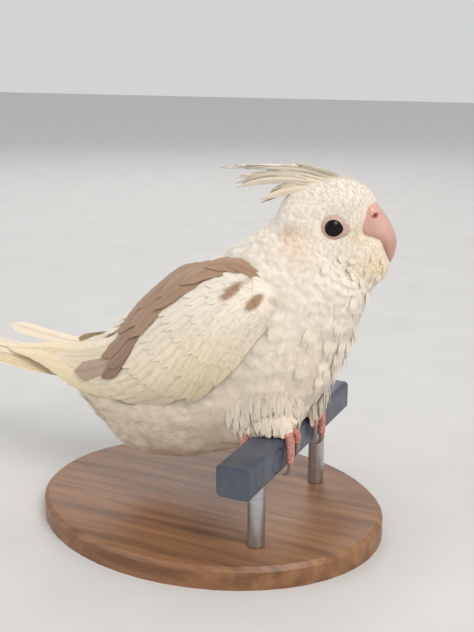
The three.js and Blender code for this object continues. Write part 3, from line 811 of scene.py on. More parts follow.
def lay_feathers(coat, places, normals, size, colour):
    """Feathers on the skin. size(point) gives length, width, height at the root and height at the tip."""
    for place, normal in zip(places, normals):
        length, width, low, high = size(place)
        way, spot = lie.at(place)
        way = unit(way - normal * (way @ normal))
        side = np.cross(way, normal)
        turn = rng.normal(0, TURN_JITTER)
        cos, sin = math.cos(turn), math.sin(turn)
        way, side = way * cos + side * sin, side * cos - way * sin
        length *= rng.uniform(0.85, 1.15)
        width *= rng.uniform(0.88, 1.12)
        template, faces = TEMPLATES[rng.integers(len(TEMPLATES))]
        flat = place + side * (template[:, :1] * width / 2) + way * (template[:, 1:2] * length)
        heights = lerp(low, high * rng.uniform(0.8, 1.2), template[:, 1]) + template[:, 2] * width * 0.4
        heights -= 0.06 * width * template[:, 0] ** 2 * template[:, 1]
        points, ups = np.empty_like(flat), np.empty_like(flat)
        for k, (p, h) in enumerate(zip(flat, heights)):
            near, up, _, _ = skin_tree.find_nearest(p)
            ups[k] = up
            points[k] = np.array(near) + ups[k] * h
        lean = rng.normal(0, 0.04, 2)
        facing = ups + side * (template[:, :1] * 0.1 + lean[0]) + way * lean[1] - way * 0.05
        shade = colour(place[None])[0] * rng.uniform(0.965, 1.03)
        # Each feather darkens towards its root: painted shade where the feathers above cover it.
        tints = shade * (0.93 + 0.07 * template[:, 1:2])
        vane = np.stack([template[:, 0] * 0.5 + rng.random(), template[:, 1] + rng.random()], -1)
        bake = spot + 0.0015 * np.stack([template[:, 0], template[:, 1] * 2 - 1], -1)
        coat.add(points, faces, np.clip(tints, 0, 1), vane, bake, facing)


def wing_cover():
    """A search tree over both wings; where they cover the body no small feathers grow."""
    u, v = np.meshgrid(np.linspace(0.3, 6.4, 60), np.linspace(-0.86, 0.9, 22), indexing="ij")
    wing = wing_surface(u, v).reshape(-1, 3)
    return place_tree(np.concatenate([wing, wing * (1, -1, 1)]))


def bill_tree(sections):
    points = on_head(loft_points(section_rings(sections, 30, 28)))
    return BVHTree.FromPolygons([Vector(p) for p in points], ring_faces(30, 28))


wing_tree = wing_cover()
bill_trees = [bill_tree(sections) for sections in (UPPER_BILL, LOWER_BILL, CERE)]


def near_bill(point):
    """Distance to the bill, below zero inside it."""
    best = 9.0
    for tree in bill_trees:
        near, normal, _, away = tree.find_nearest(point, 9.0)
        if near is not None:
            inside = (Vector(point) - near).dot(normal) < 0
            best = min(best, -away if inside else away)
    return best


def wing_distance(points):
    return np.array([wing_tree.find(p)[2] for p in points])


def bare_eye(head):
    """Where the skin round the eye is bare, for points in the head's frame."""
    eye = head.copy()
    eye[:, 1] = np.abs(eye[:, 1])
    bare = (np.linalg.norm((eye - (0.2, 13.2, 0)) * (1, 0.6, 1), axis=1) < 3.35) & (eye[:, 1] > 4)
    return bare | (np.linalg.norm((eye - (4.3, 11.5, -0.3)) * (0.6, 0.5, 1.2), axis=1) < 1.2)


# Gaps between feathers on the head, towards the nape and on the body, and how much closer they sit in front
GAPS = {"head": 0.85, "nape": 1.5, "body": 1.7, "front": 0.2}
# No feathers grow nearer than this to the bare bill's outline, the bill, the wings and the bar's middle
CLEAR = {"outline": 0.25, "bill": -0.3, "wing": 4.2, "bar": 5.6}
# Length, width and height at the tip of feathers on the head, the body, the face and the vent
FEATHER_SIZES = {
    "head": np.array([4.6, 2.0, 0.3]),
    "body": np.array([10.5, 5.0, 0.95]),
    "face": np.array([2.7, 1.2, 0.25]),
    "vent": np.array([15, 5, 2.6]),
}
LOOSE_SHARE = 0.12  # share of the breast's feathers that stand off


def body_spacing(points):
    """Gaps between feathers by place, closer on the head and its front, and zero where none grow."""
    head = in_head(points)
    reach = np.linalg.norm(head - HEAD_MIDDLE, axis=1)
    gaps = np.where(reach < HEAD_REACH, lerp(GAPS["head"], GAPS["nape"], fade(reach - 14, 8)), GAPS["body"])
    gaps = gaps - GAPS["front"] * (fade(head[:, 0] - 5, 8) * (reach < HEAD_REACH))
    bill = (bill_gap(head[:, 0], head[:, 2]) < CLEAR["outline"]) & (reach < 26)
    bill |= np.array([near_bill(p) for p in points]) < CLEAR["bill"]
    under_wing = wing_distance(points) < CLEAR["wing"]
    on_bar = (np.abs(points[:, 0]) < CLEAR["bar"]) & (points[:, 2] < -0.2)
    gaps[bare_eye(head) | bill | under_wing | on_bar] = 0
    return gaps


def body_size(place):
    """Length, width, height at the root and height at the tip of a feather by place."""
    head = in_head(place[None])[0]
    reach = np.linalg.norm(head - HEAD_MIDDLE)
    size = lerp(FEATHER_SIZES["head"], FEATHER_SIZES["body"], fade(reach - 15, 14))
    if head[0] > 6 and reach < HEAD_REACH:
        size = lerp(size, FEATHER_SIZES["face"], fade(head[0] - 6, 7))
    length, width, high = size
    near_wing = wing_tree.find(place)[2]
    if near_wing < 9 and place[2] < 50:
        high += 2.0 * (1 - near_wing / 9)
    if place[2] < 8:
        high += 0.5
        length *= 1.15
    if place[0] > 10 and 10 < place[2] < 62 and rng.random() < LOOSE_SHARE:
        high += 1.3
    if -72 < place[0] < -44 and place[2] < -6:
        length, width, high = FEATHER_SIZES["vent"]
    return length, width, -0.12 if reach < HEAD_REACH else -0.3, high


FEATHER_TRIES = 150000
body_places, body_normals = scatter(skin, body_spacing, FEATHER_TRIES)
order = np.argsort(body_places[:, 0])
body_places, body_normals = body_places[order], body_normals[order]
coat = Coat()
lay_feathers(coat, body_places, body_normals, body_size, plumage_colour)
coat.build("coat_body", SMALL_FEATHER)


@lru_cache
def vane_faces(rows, columns):
    """Triangles of a closed thin vane: its top, its underside and the edges between them."""
    wide = columns + 1
    under = rows * wide
    faces = []
    for r, c in product(range(rows - 1), range(columns)):
        a = r * wide + c
        b = a + wide
        faces += [(a, a + 1, b + 1), (a, b + 1, b)]
        faces += [(under + a, under + b + 1, under + a + 1), (under + a, under + b, under + b + 1)]
    edges = [(r * wide + c, (r + 1) * wide + c, c > 0) for r in range(rows - 1) for c in (0, columns)]
    edges += [(r * wide + c, r * wide + c + 1, r == 0) for r in (0, rows - 1) for c in range(columns)]
    for a, b, flip in edges:
        quad = [(a, b, under + b), (a, under + b, under + a)]
        faces += [face[::-1] for face in quad] if flip else quad
    return np.array(faces)


def vane_feather(coat, path, normals, width, tint, bake, thick=0.35, columns=6, blunt=0.86, tip=0.25,
                 root=0.45, fray=0.05, cup=0.12, shaft=0.25):
    """A long feather: a closed thin vane with a raised shaft, bent along a path of points."""
    path, normals = np.asarray(path, float), unit(normals)
    rows = len(path)
    t = np.linspace(0, 1, rows)
    way = unit(np.gradient(path, axis=0))
    side = unit(np.cross(way, normals))
    wide = np.where(t < 0.25, lerp(root, 1, t / 0.25), 1.0)
    rounded = np.sqrt(np.clip(1 - ((t - blunt) / (1 - blunt)) ** 2, 0, 1))
    wide = np.where(t > blunt, np.maximum(rounded, tip), wide) * width / 2
    across = np.linspace(-1, 1, columns + 1)
    notch = 1 - fray * rng.random((rows, columns + 1)) * (np.abs(across) > 0.9)
    off = across[None] * wide[:, None] * notch
    back = -0.18 * width * np.abs(across[None]) ** 2 * (t[:, None] > 0.9) * 0.5
    ridge = shaft * np.exp(-((across[None] / 0.12) ** 2)) * (1 - 0.6 * t[:, None])
    lift = -cup * width * across[None] ** 2 * 0.5 + ridge
    top = path[:, None] + side[:, None] * off[..., None] + way[:, None] * back[..., None]
    top = top + normals[:, None] * lift[..., None]
    thin = thick * np.sqrt(np.clip(1.02 - across[None] ** 2, 0, 1))[..., None]
    low = top - normals[:, None] * thin
    points = np.concatenate([top.reshape(-1, 3), low.reshape(-1, 3)])
    along = np.repeat(t, columns + 1)
    aside = np.tile(across, rows)
    tint = np.asarray(tint(top.reshape(-1, 3)) if callable(tint) else tint, float)
    colours = tint if tint.ndim == 2 else np.tile(tint, (len(along), 1))
    colours = colours * (1 - 0.16 * np.exp(-((aside / 0.1) ** 2)))[:, None]
    vane = np.stack([np.abs(aside) * 0.5 + along * 0.4, along * width * 0.3 + rng.random()], -1)
    place = np.asarray(bake) + 0.0015 * np.stack([aside, along * 2 - 1], -1)
    facing = (normals[:, None] + side[:, None] * (0.28 * across[None, :, None])).reshape(-1, 3)
    coat.add(points, vane_faces(rows, columns), np.clip(np.tile(colours, (2, 1)), 0, 1),
             np.tile(vane, (2, 1)), np.tile(place, (2, 1)), np.concatenate([facing, -facing]))


def wing_feather(coat, side, root, tip, width, tint, rows=12, **shape):
    """A feather of a wing from (u, v, height) at its root to (u, v, height) at its tip."""
    t = np.linspace(0, 1, rows)
    u, v, h = (lerp(root[k], tip[k], t) for k in range(3))
    place, normal = wing_frame(u, v)
    path = place + normal * h[:, None]
    bake = (0.02 + 0.3 * root[0] / 9 + (0.33 if side > 0 else 0), 0.5 + 0.4 * root[1] * 0.9)
    if side > 0:
        path = path * (1, -1, 1)
        normal = normal * (1, -1, 1)
    vane_feather(coat, path, normal, width, tint, bake, **shape)


# Plumes round each foot: how many in a tier, and each tier's height, spread, length and width
PLUMES = 190
PLUME_TIERS = [(13.0, 1.35, 8.5, 2.6), (10.5, 1.15, 8.5, 2.4), (8.0, 0.95, 7.5, 2.2)]
PLUME_REACH = 22  # plumes rooted farther from their foot are left out


def belly_plume(coat, middle, angle, wide, long, width):
    """One plume that hangs from the belly round a foot, and rests on the bar's top where it meets it."""
    rows = 7
    s = np.linspace(0, 1, rows)[:, None]
    out = np.array([math.cos(angle), math.sin(angle), 0.0])
    root = np.array(middle) + (0, 0, rng.uniform(-1.8, 1.8)) + out * (8.0 * wide, 7.0 * wide, 0)
    near, normal, _, _ = skin_tree.find_nearest(root)
    root, normal = np.array(near), np.array(normal)
    if np.linalg.norm(root - middle) > PLUME_REACH:
        return
    end = root + out * rng.uniform(-0.5, 1.5) - (0, 0, long * rng.uniform(0.7, 1.2))
    over_bar = abs(end[0]) < PERCH["width"] / 2 + 1.5
    end[2] = max(end[2], 0.4 if over_bar else -3.0 - rng.uniform(0, 1.5))
    bend = (root + end) / 2 + out * rng.uniform(1.0, 2.6)
    path = (1 - s) ** 2 * root + 2 * s * (1 - s) * bend + s**2 * end
    normals = np.tile(unit(normal + 0.5 * out), (rows, 1))
    # Each plume is darkened by a random amount up to a twentieth: painted shade to match the belly round the
    # feet.
    tint = plumage_colour(root[None])[0] * rng.uniform(0.95, 1.0)
    vane_feather(coat, path, normals, width * rng.uniform(0.7, 1.1), tint, lie.at(root)[1], thick=0.1,
                 columns=4, blunt=0.3, tip=0.04, root=0.7, fray=0.5, cup=0.15, shaft=0.02)


def build_skirts():
    """Long loose belly plumes that hang round each foot and over the bar's top."""
    coat = Coat()
    for side, foot in FOOT_Y.items():
        for high, wide, long, width in PLUME_TIERS:
            for i in range(PLUMES):
                angle = 2 * math.pi * i / PLUMES + rng.normal(0, 0.06)
                belly_plume(coat, (-2.0, side * foot, high), angle, wide, long, width)
    coat.build("belly_plumes", SMALL_FEATHER)


def shaded(colour, amount=0.05):
    return np.asarray(colour) * rng.uniform(1 - amount, 1 + amount)


# Brown feathers along the wing's upper edge: root and tip on the wing, width, shade from tan to deep brown
BAND = [
    ((3.9, 0.62, 0.5), (5.12, -0.1, 1.3), 8.5, 0.75), ((3.6, 0.9, 0.5), (5.2, 0.42, 1.4), 9.0, 0.55),
    ((3.9, 0.5, 0.5), (4.85, 0.12, 1.5), 6.0, 0.6), ((3.0, 0.95, 0.5), (4.75, 0.78, 1.5), 9.5, 0.4),
    ((2.9, 0.78, 0.5), (4.1, 0.5, 1.6), 7.5, 0.35), ((2.5, 0.95, 0.5), (4.2, 0.68, 1.6), 8.5, 0.3),
    ((2.4, 0.98, 0.5), (4.0, 0.86, 1.7), 9.0, 0.25), ((2.0, 0.86, 0.5), (3.4, 0.66, 1.75), 7.5, 0.25),
    ((1.9, 0.95, 0.5), (3.35, 0.8, 1.8), 8.5, 0.2), ((1.4, 0.94, 0.5), (2.75, 0.8, 1.8), 7.5, 0.15),
    ((0.95, 1.0, 0.5), (2.2, 0.92, 1.8), 6.5, 0.1), ((0.6, 0.97, 0.3), (1.65, 0.96, 1.6), 4.5, 0.15),
]
GREY_BROWN = linear(176, 150, 128)
# The left wing's raised primary, from its root to its tip, in the bird's frame
RAISED_PRIMARY = np.array([[-76, 13, 13.5], [-97.7, 12, 12.2], [-116.3, 12.5, 13.8], [-131.8, 13, 15.6]])
RAISED_PLACE = 2  # its number among the primaries
PRIMARIES = 10
SECONDARIES = 11
# Rows of coverts: count, roots and tips along and across the wing, width, heights at the root and the tip
COVERTS = [
    (13, (1.5, 3.0), (-0.5, 0.85), (3.0, 5.1), (-1.04, 0.66), 8.4, 0.2, 0.7),
    (14, (1.0, 2.5), (-0.5, 0.9), (2.3, 4.3), (-1.05, 0.78), 7.4, 0.3, 0.75),
    (15, (0.6, 2.0), (-0.5, 0.95), (1.75, 3.5), (-1.05, 0.84), 6.8, 0.4, 0.8),
    (15, (0.35, 1.6), (-0.6, 0.95), (1.35, 2.85), (-1.05, 0.9), 6.2, 0.4, 0.8),
    (15, (0.15, 1.1), (-0.7, 0.95), (1.0, 2.3), (-1.0, 0.94), 5.6, 0.4, 0.8),
    (15, (0.0, 0.7), (-0.8, 0.95), (0.75, 1.8), (-1.0, 0.96), 5.0, 0.4, 0.75),
    (15, (0.0, 0.4), (-0.85, 0.95), (0.55, 1.35), (-0.98, 0.97), 4.4, 0.35, 0.7),
    (14, (0.0, 0.2), (-0.9, 0.95), (0.35, 0.9), (-0.95, 0.98), 4.0, 0.3, 0.65),
]


def wing_tone(shade):
    """The wing's colour by place, made lighter or darker."""
    return lambda points: wing_colour(points) * shade


def build_primaries(coat, side):
    """The long outer flight feathers; the left wing holds one clear of the rest."""
    primary = mixed(WING_CREAM, YELLOW, 0.45)
    for i in range(PRIMARIES):
        t = i / (PRIMARIES - 1)
        if side > 0 and i == RAISED_PLACE:
            path = spline(RAISED_PRIMARY, 3 * np.linspace(0, 1, 16))
            normals = np.tile((0, -0.5, 1.0), (16, 1))
            vane_feather(coat, path, normals, 6.5, CREAM, (0.6, 0.5), blunt=0.85, cup=0.1)
            continue
        root = (4.4, lerp(0.45, -0.75, t), lerp(-0.2, -0.9, t))
        tip = (lerp(7.75, 6.5, t) - (1.1 if side > 0 else 0), lerp(0.8, -0.42, t), lerp(0.5, -0.9, t))
        width = lerp(7.5, 6.8, t)
        wing_feather(coat, side, root, tip, width, shaded(primary, 0.03), rows=20, blunt=0.85, cup=0.1)


def build_secondaries(coat, side):
    for i in range(SECONDARIES):
        t = i / (SECONDARIES - 1)
        root = (lerp(2.6, 3.9, t), lerp(-0.55, 0.75, t), -0.3)
        tip = (lerp(4.25, 6.7, t**0.9), lerp(-0.98, 0.6, t), 0.4)
        wing_feather(coat, side, root, tip, 8.4, wing_tone(shaded(1.0, 0.03)), rows=16, fray=0.08)


def build_coverts(coat, side):
    for count, u0, v0, u1, v1, width, low, high in COVERTS:
        for i in range(count):
            t = (i + rng.uniform(-0.2, 0.2)) / (count - 1)
            root = (lerp(*u0, t), lerp(*v0, t), low - 0.5)
            tip = (lerp(*u1, t) + rng.uniform(-0.05, 0.05), lerp(*v1, t), high)
            wing_feather(coat, side, root, tip, width, wing_tone(shaded(1.0, 0.02)), rows=9, fray=0.16,
                         shaft=0.03, blunt=0.5, thick=0.12, cup=0.04)


def build_band(coat, side):
    """The brown band; the left wing goes without its topmost feathers."""
    for root, tip, width, depth in BAND:
        if side > 0 and root[1] > 0.93:
            continue
        colour = shaded(mixed(BROWN, DEEP_BROWN, depth), 0.06)
        wing_feather(coat, side, root, tip, width, colour, rows=14, fray=0.2, blunt=0.55, thick=0.12,
                     cup=0.05, shaft=0.05)
    wing_feather(coat, side, (4.5, 0.4, 0.3), (6.05, -0.04, 1.0), 7.5, GREY_BROWN, fray=0.1, shaft=0.08)


def build_wing(side):
    coat = Coat()
    for build in (build_primaries, build_secondaries, build_coverts, build_band):
        build(coat, side)
    obj = coat.build("wing_feathers_left" if side > 0 else "wing_feathers_right", LARGE_FEATHER)
    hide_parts("wing_left" if side > 0 else "wing_right")


build_skirts()
build_wing(-1)
build_wing(1)

TAIL = {"root": (-80, 8.0), "length": 154, "width": 11, "pairs": 6, "rise": 0.072}
TAIL_COVERTS = 13
VENT_FEATHERS = 90


def build_quills(coat):
    """The tail's long feathers in stepped pairs, the middle pair longest and on top."""
    root_x, root_z = TAIL["root"]
    s = np.linspace(0, 1, 24)
    for pair in reversed(range(TAIL["pairs"])):
        t = pair / (TAIL["pairs"] - 1)
        long = TAIL["length"] * lerp(1, 0.52, t**0.75)
        broad, blunt = (0.9, 0.6) if pair < 1 else (0.85, 0.8)
        for side in (-1, 1):
            y = side * (lerp(1.6, 2.0 + 0.9 * pair, s) + 0.9 * pair * (1 - s))
            z = root_z + TAIL["rise"] * long * s - 0.55 * pair + (0.45 if side > 0 else 0)
            path = np.stack([root_x - long * s, y, z], -1)
            normal = np.tile((0, 0.08 * side, 1.0), (24, 1))
            tint = shaded(mixed(CREAM, YELLOW, lerp(0.35, 0.8, t)))
            bake = (0.7 + 0.02 * pair, 0.5 + 0.2 * side)
            vane_feather(coat, path, normal, TAIL["width"] * broad, tint, bake, blunt=blunt, tip=0.12)


def build_tail_coverts(coat):
    """Three rows of feathers from the rump over the tail's root."""
    s = np.linspace(0, 1, 9)
    for i in range(TAIL_COVERTS):
        across = (i % 5 - 2) / 2
        start = -74 - 3.2 * (i // 5)
        x = start - (26 + rng.uniform(-4, 4)) * s
        z = lerp(17 + 2.2 * (1 - abs(across)), 11, s)
        path = np.stack([x, across * lerp(7.5, 5, s), z], -1)
        tint = shaded(mixed(CREAM, YELLOW, 0.25))
        normals = np.tile((0, 0.3 * across, 1), (9, 1))
        bake = (0.85, 0.5 + 0.1 * across)
        vane_feather(coat, path, normals, 8.5, tint, bake, blunt=0.65, fray=0.15, shaft=0.1)


def build_vent(coat):
    """Short feathers under the tail's root, from the belly's end backwards."""
    s = np.linspace(0, 1, 9)
    for _ in range(VENT_FEATHERS):
        turn = rng.uniform(-1.5, 1.5)
        start = -rng.uniform(66, 92)
        x = start - (24 + rng.uniform(-5, 5)) * s
        behind = fade(-66 - x, 42)
        reach = lerp(11.0, 4.0, behind)
        middle = lerp(6.0, 9.5, behind)
        path = np.stack([x, 0.85 * reach * np.sin(turn), middle - reach * np.cos(turn)], -1)
        normals = np.tile((0, 1.2 * np.sin(turn), -np.cos(turn) + 0.35), (9, 1))
        tint = shaded(mixed(WHITE, YELLOW, 0.3))
        bake = (0.92, 0.5 + 0.2 * np.sin(turn))
        vane_feather(coat, path, normals, 6.0, tint, bake, thick=0.12, blunt=0.45, tip=0.1, fray=0.3,
                     shaft=0.05)


def build_tail():
    coat = Coat()
    build_quills(coat)
    build_tail_coverts(coat)
    build_vent(coat)
    obj = coat.build("tail_feathers", LARGE_FEATHER)
    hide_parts("tail")


build_tail()

# Crest, in the head's side view: root, two bends and tip of a feather from the front, middle and back
CREST = np.array([
    [(13.6, 6.4), (5.5, 16.4), (-10, 19.6), (-37.4, 18.8)],
    [(5.0, 12.4), (-5.0, 16.4), (-17, 17.4), (-33.1, 13.9)],
    [(-7.0, 12.4), (-12.0, 14.0), (-17, 11.4), (-23.2, 6.8)],
], float)

CREST_FEATHERS = 170


def crest_feather(coat, t):
    """One feather of the crest, from t = 0 in front to t = 1 behind; their tips draw together in bunches."""
    group = 2 * t
    bunch = round(group) * 0.55 + group * 0.45
    root, bend = (spline(CREST[:, k], np.array([group]))[0] for k in (0, 1))
    far, tip = (spline(CREST[:, k], np.array([bunch]))[0] for k in (2, 3))
    apart = rng.uniform(-1, 1) * lerp(2.4, 6.5, t**0.7)
    long = rng.uniform(-0.45, 1.05)
    tip = far + (tip - far) * long + rng.normal(0, 0.45, 2)
    if long < 0.1:
        far, tip = bend + (far - bend) * 0.55, bend + (far - bend) * rng.uniform(0.9, 1.2)
    s = np.linspace(0, 1, 12)[:, None]
    side_view = (1 - s) ** 3 * root + 3 * s * (1 - s) ** 2 * bend + 3 * s**2 * (1 - s) * far + s**3 * tip
    y = apart * lerp(1.0, 0.25, s[:, 0])
    drop = 0.05 * apart**2 * (1 - s[:, 0])
    path = np.stack([side_view[:, 0], y, side_view[:, 1] - drop - 1.5], -1)
    way = unit(np.gradient(path, axis=0))
    normal = unit(np.cross(way, (0.0, 1.0, 0.0))) + np.array([0.0, 0.45 * apart, 0.0])
    tint = shaded(mixed(WHITE, YELLOW, 0.1 + 0.25 * t), 0.03)
    bake = lie.at(on_head(path[:1])[0])[1]
    vane_feather(coat, on_head(path), unit(normal) @ HEAD_TURN.T, 3.2, tint, bake, thick=0.12, columns=4,
                 blunt=0.3, tip=0.04, root=0.5, fray=0.3, cup=0.2, shaft=0.04)


def build_crest():
    coat = Coat()
    for i in range(CREST_FEATHERS):
        crest_feather(coat, i / (CREST_FEATHERS - 1))
    coat.build("crest_feathers", SMALL_FEATHER)


build_crest()


# Bill, eyes and lids
def loft_object(name, sections, rings, sides, material, fullness=2.15):
    points = on_head(loft_points(section_rings(sections, rings, sides, 0, fullness)))
    obj = plain_mesh(name, points, ring_faces(rings, sides), material)
    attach(obj, "root")
    return obj


def bill_tint(points):
    head = in_head(points)
    pink = linear(214, 172, 158)
    pale = linear(214, 184, 168)
    colour = mixed(np.tile(pink, (len(points), 1)), pale, np.clip((-6 - head[:, 2]) / 7, 0, 1) * 0.6)
    return mixed(colour, linear(190, 138, 124), np.clip((-2 - head[:, 2]) / 6, 0, 1) * 0.45)


upper = loft_object("bill_hook", UPPER_BILL, 44, 36, BILL_HORN, 2.2)
lower = loft_object("bill_scoop", LOWER_BILL, 26, 28, BILL_HORN)
for obj, node in ((upper, "bill_upper"), (lower, "bill_lower")):
    set_tint(obj.data, bill_tint(mesh_points(obj)))
    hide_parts(node)


def torus(name, centre, axis, radius, tube, material, wide=24, high=12):
    """A ring about an axis through a centre in the head's frame."""
    axis = unit(axis)
    one = unit(np.cross(axis, (0.3, 0.2, 0.9)))
    two = np.cross(axis, one)
    a = 2 * np.pi * np.arange(wide) / wide
    b = 2 * np.pi * np.arange(high) / high
    out = one * np.cos(a)[:, None] + two * np.sin(a)[:, None]
    points = centre + out[:, None] * (radius + tube * np.cos(b))[None, :, None]
    points = (points + axis * (tube * np.sin(b))[None, :, None]).reshape(-1, 3)
    obj = plain_mesh(name, on_head(points), grid_faces(wide, high, closed=True), material)
    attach(obj, "root")
    return obj


def ball(name, centre, radius, material, wide=40, high=24):
    """A ball about a centre in the head's frame."""
    a = np.pi * np.arange(1, high)[:, None] / high
    b = 2 * np.pi * np.arange(wide) / wide
    grid = np.stack([np.sin(a) * np.cos(b), np.sin(a) * np.sin(b), np.cos(a) + 0 * b], -1)
    points = np.concatenate([grid.reshape(-1, 3), [(0, 0, 1), (0, 0, -1)]]) * radius + centre
    obj = plain_mesh(name, on_head(points), ring_faces(high - 1, wide), material)
    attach(obj, "root")
    return obj


# The lids' ring: its middle from the eye's middle, half its width, and what its front corner adds to each
LID = {"middle": 3.4, "half": 0.64, "corner_middle": 0.9, "corner_half": 0.55}


def eye_lids(name, side):
    """Bare lids as one almond-shaped ring round the eye, drawn out into a low front corner."""
    wide, high = 64, 12
    angle = 2 * np.pi * np.arange(wide) / wide
    around = 2 * np.pi * np.arange(high) / high
    corner = np.exp(-((np.angle(np.exp(1j * (angle + 0.12))) / 0.42) ** 2))
    middle = LID["middle"] + LID["corner_middle"] * corner
    half = LID["half"] + LID["corner_half"] * corner
    reach = middle[:, None] + half[:, None] * np.cos(around)
    ball_depth = np.sqrt(np.maximum(EYE["radius"] ** 2 - np.minimum(reach, 3.6) ** 2, 0))
    depth = EYE["y"] + ball_depth - 0.24 * np.maximum(reach - LID["middle"], 0)
    depth = depth + 0.12 + 0.26 * np.sin(around)
    x = 0.2 + reach * np.cos(angle)[:, None]
    z = reach * np.sin(angle)[:, None]
    points = np.stack([x, side * depth, z], -1).reshape(-1, 3)
    faces = [face if side < 0 else face[::-1] for face in grid_faces(wide, high, closed=True)]
    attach(plain_mesh(name, on_head(points), faces, EYE_RING), "root")


cere = loft_object("cere_swelling", CERE, 30, 36, BILL_HORN)
set_one_tint(cere, 224, 178, 166)
for side, word in ((1, "left"), (-1, "right")):
    eye = ball("eyeball_" + word, (0, side * EYE["y"], 0), EYE["radius"], EYE_GLOSS)
    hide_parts("eye_" + word)
    eye_lids("lid_ring_" + word, side)
    rim = torus("nostril_rim_" + word, (13.1, side * 5.6, 3.4), (0.35, side, 0.3), 1.0, 0.34, BILL_HORN)
    set_one_tint(rim, 196, 118, 112)
    ball("nostril_" + word, (13.0, side * 5.4, 3.35), 0.95, NOSTRIL)

# Feet: ringed toes and curled claws, given for a right foot about its own middle
FRONT = PERCH["width"] / 2 + 0.3
TOES = [
    {"name": "outer_front", "ahead": 1, "start": -0.4, "end": -0.9, "down": 8.4, "radius": 1.55},
    {"name": "inner_front", "ahead": 1, "start": 1.2, "end": 5.6, "down": 3.2, "radius": 1.4},
    {"name": "outer_back", "ahead": -1, "start": -1.2, "end": -4.4, "down": 7.4, "radius": 1.5},
    {"name": "inner_back", "ahead": -1, "start": 1.2, "end": 3.4, "down": 3.6, "radius": 1.4},
]


def tube_mesh(points, radii, rings, sides, ringed=0.0):
    """A closed tube along a smooth path; ringed swells it in bands like scutes."""
    station = np.linspace(0, len(points) - 1, rings)
    path = spline(points, station)
    radius = spline(np.array(radii)[:, None], station)[:, 0]
    length = np.concatenate([[0], np.cumsum(np.linalg.norm(np.diff(path, axis=0), axis=1))])
    radius = radius * (1 + ringed * np.abs(np.sin(length * math.pi / 1.15)))
    way = unit(np.gradient(path, axis=0))
    side = np.array([0.0, 1.0, 0.0]) if abs(way[0][1]) < 0.9 else np.array([1.0, 0.0, 0.0])
    grid = []
    a = 2 * np.pi * np.arange(sides) / sides
    for p, w, r in zip(path, way, radius):
        side = unit(side - w * (side @ w))
        up = np.cross(w, side)
        grid.append(p + side * (r * np.cos(a))[:, None] + up * (r * np.sin(a))[:, None])
    return loft_points(np.array(grid)), ring_faces(rings, sides)


def toe_path(toe):
    """A toe's middle line: along the bar's top, round its edge and down its face."""
    r, ahead, start, end = toe["radius"], toe["ahead"], toe["start"], toe["end"]
    out = FRONT + r
    return np.array([
        (0, start * 0.5, r + 0.7),
        (3.2 * ahead, lerp(start, end, 0.35), r + 0.8),
        ((out - 0.7) * ahead, lerp(start, end, 0.75), r * 0.75),
        (out * ahead, end, -toe["down"] * 0.45),
        (out * ahead, end, -toe["down"]),
    ])


def claw_path(toe):
    """A claw's middle line, hooked in under the bar where its toe reaches low enough."""
    out, ahead, end = FRONT + toe["radius"], toe["ahead"], toe["end"]
    top = -toe["down"] - 0.1
    hook = 2.6 if top < -PERCH["height"] / 2 - 2 else 0.5
    return np.array([
        (out * ahead, end, top + 0.6),
        ((out + 0.1) * ahead, end, top - 1.8),
        ((out - 0.35 * hook) * ahead, end, top - 3.8),
        ((out - hook) * ahead, end, top - 4.9),
    ])


SHANK = np.array([(0, 0, 2.4), (-1.2, 0.2, 6), (-4.5, 1, 13)])


def foot_piece(name, side, material, path, radii, *mesh):
    """A tube of the foot on its own side, turned over for the left."""
    points, faces = tube_mesh(path, radii, *mesh)
    return plain_mesh(name, points * (1, side * -1, 1) + (0, side * FOOT_Y[side], 0), faces, material)


def build_foot(side):
    word = "left" if side > 0 else "right"
    pieces = []
    for toe in TOES:
        r = toe["radius"]
        radii = [r * 1.2, r * 1.02, r, r * 0.92, r * 0.8]
        pieces.append(foot_piece("toe", side, FOOT_SKIN, toe_path(toe), radii, 60, 18, 0.07))
        radii = [r * 0.7, r * 0.6, r * 0.4, 0.15]
        name = f"curved_claw_{word}_{toe['name']}"
        obj = foot_piece(name, side, CLAW_HORN, claw_path(toe), radii, 18, 14)
        set_one_tint(obj, 150, 128, 120)
        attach(obj, "root")
        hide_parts(f"claw_{word}_{toe['name']}")
    pieces.append(foot_piece("shank", side, FOOT_SKIN, SHANK, [2.2, 1.85, 2.0], 24, 18, 0.05))
    foot = join(f"foot_{word}", pieces)
    foot.data.shade_smooth()
    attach(foot, "root")
    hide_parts("leg_" + word)


build_foot(1)
build_foot(-1)

# Bar, stand and floor keep their solids and get their finishes
FINISHES = {"perch_bar": BAR_PAINT, "stand_base": WOOD, "stand_rod_left": STEEL, "stand_rod_right": STEEL}
for node, material in FINISHES.items():
    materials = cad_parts[node].data.materials
    materials.clear()
    materials.append(material)


FLOOR = 6.0  # its length and width in metres


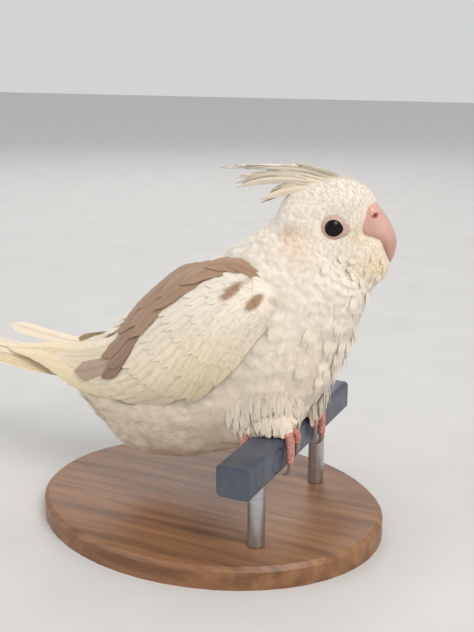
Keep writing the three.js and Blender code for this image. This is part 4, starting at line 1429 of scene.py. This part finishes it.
def build_floor():
    mesh = bpy.data.meshes.new("floor")
    half = FLOOR / 2
    corners = [(-half, -half, 0), (half, -half, 0), (half, half, 0), (-half, half, 0)]
    mesh.from_pydata(corners, [], [(0, 1, 2, 3)])
    floor = link(bpy.data.objects.new("floor", mesh))
    mesh.materials.append(floor_material())


build_floor()

# Camera at the photograph's angle and framing; its focal length and the picture's height in pixels
CAMERA = {"place": (120.33, -295.37, 125.99), "turn": 25.5, "down": 15.5, "focal": 959, "height": 632}
SENSOR = 36


def build_camera():
    data = bpy.data.cameras.new("camera")
    data.sensor_width = SENSOR
    data.lens = CAMERA["focal"] / CAMERA["height"] * SENSOR
    data.clip_start = 0.01
    camera = link(bpy.data.objects.new("camera", data))
    place = Vector(to_world(CAMERA["place"]))
    turn, down = math.radians(CAMERA["turn"]), math.radians(CAMERA["down"])
    ahead = Vector((-math.sin(turn) * math.cos(down), math.cos(turn) * math.cos(down), -math.sin(down)))
    camera.matrix_world = Matrix.Translation(place) @ ahead.to_track_quat("-Z", "Y").to_matrix().to_4x4()
    bpy.context.scene.camera = camera


def area_light(name, place, target, size, power, colour):
    data = bpy.data.lights.new(name, "AREA")
    data.shape = "SQUARE"
    data.size = size
    data.energy = power
    data.color = colour
    lamp = link(bpy.data.objects.new(name, data))
    lamp.location = place
    lamp.rotation_euler = (Vector(target) - Vector(place)).to_track_quat("-Z", "Y").to_euler()


def build_world():
    world = bpy.data.worlds.new("studio")
    world.use_nodes = True
    set_inputs(world.node_tree.nodes["Background"], {"Color": (0.86, 0.87, 0.88, 1), "Strength": 0.75})
    bpy.context.scene.world = world
    bpy.context.scene.view_settings.view_transform = "Standard"


build_camera()
area_light("key", (0.75, -0.55, 0.95), (0.0, 0.0, 0.1), 0.6, 9.5, (1.0, 0.96, 0.9))
area_light("fill", (-0.9, -0.8, 0.6), (0.0, 0.0, 0.08), 0.9, 3.0, (0.92, 0.95, 1.0))
area_light("rim", (-0.5, 0.9, 0.8), (0.0, 0.0, 0.1), 0.6, 3.0, (1.0, 0.97, 0.93))
build_world()
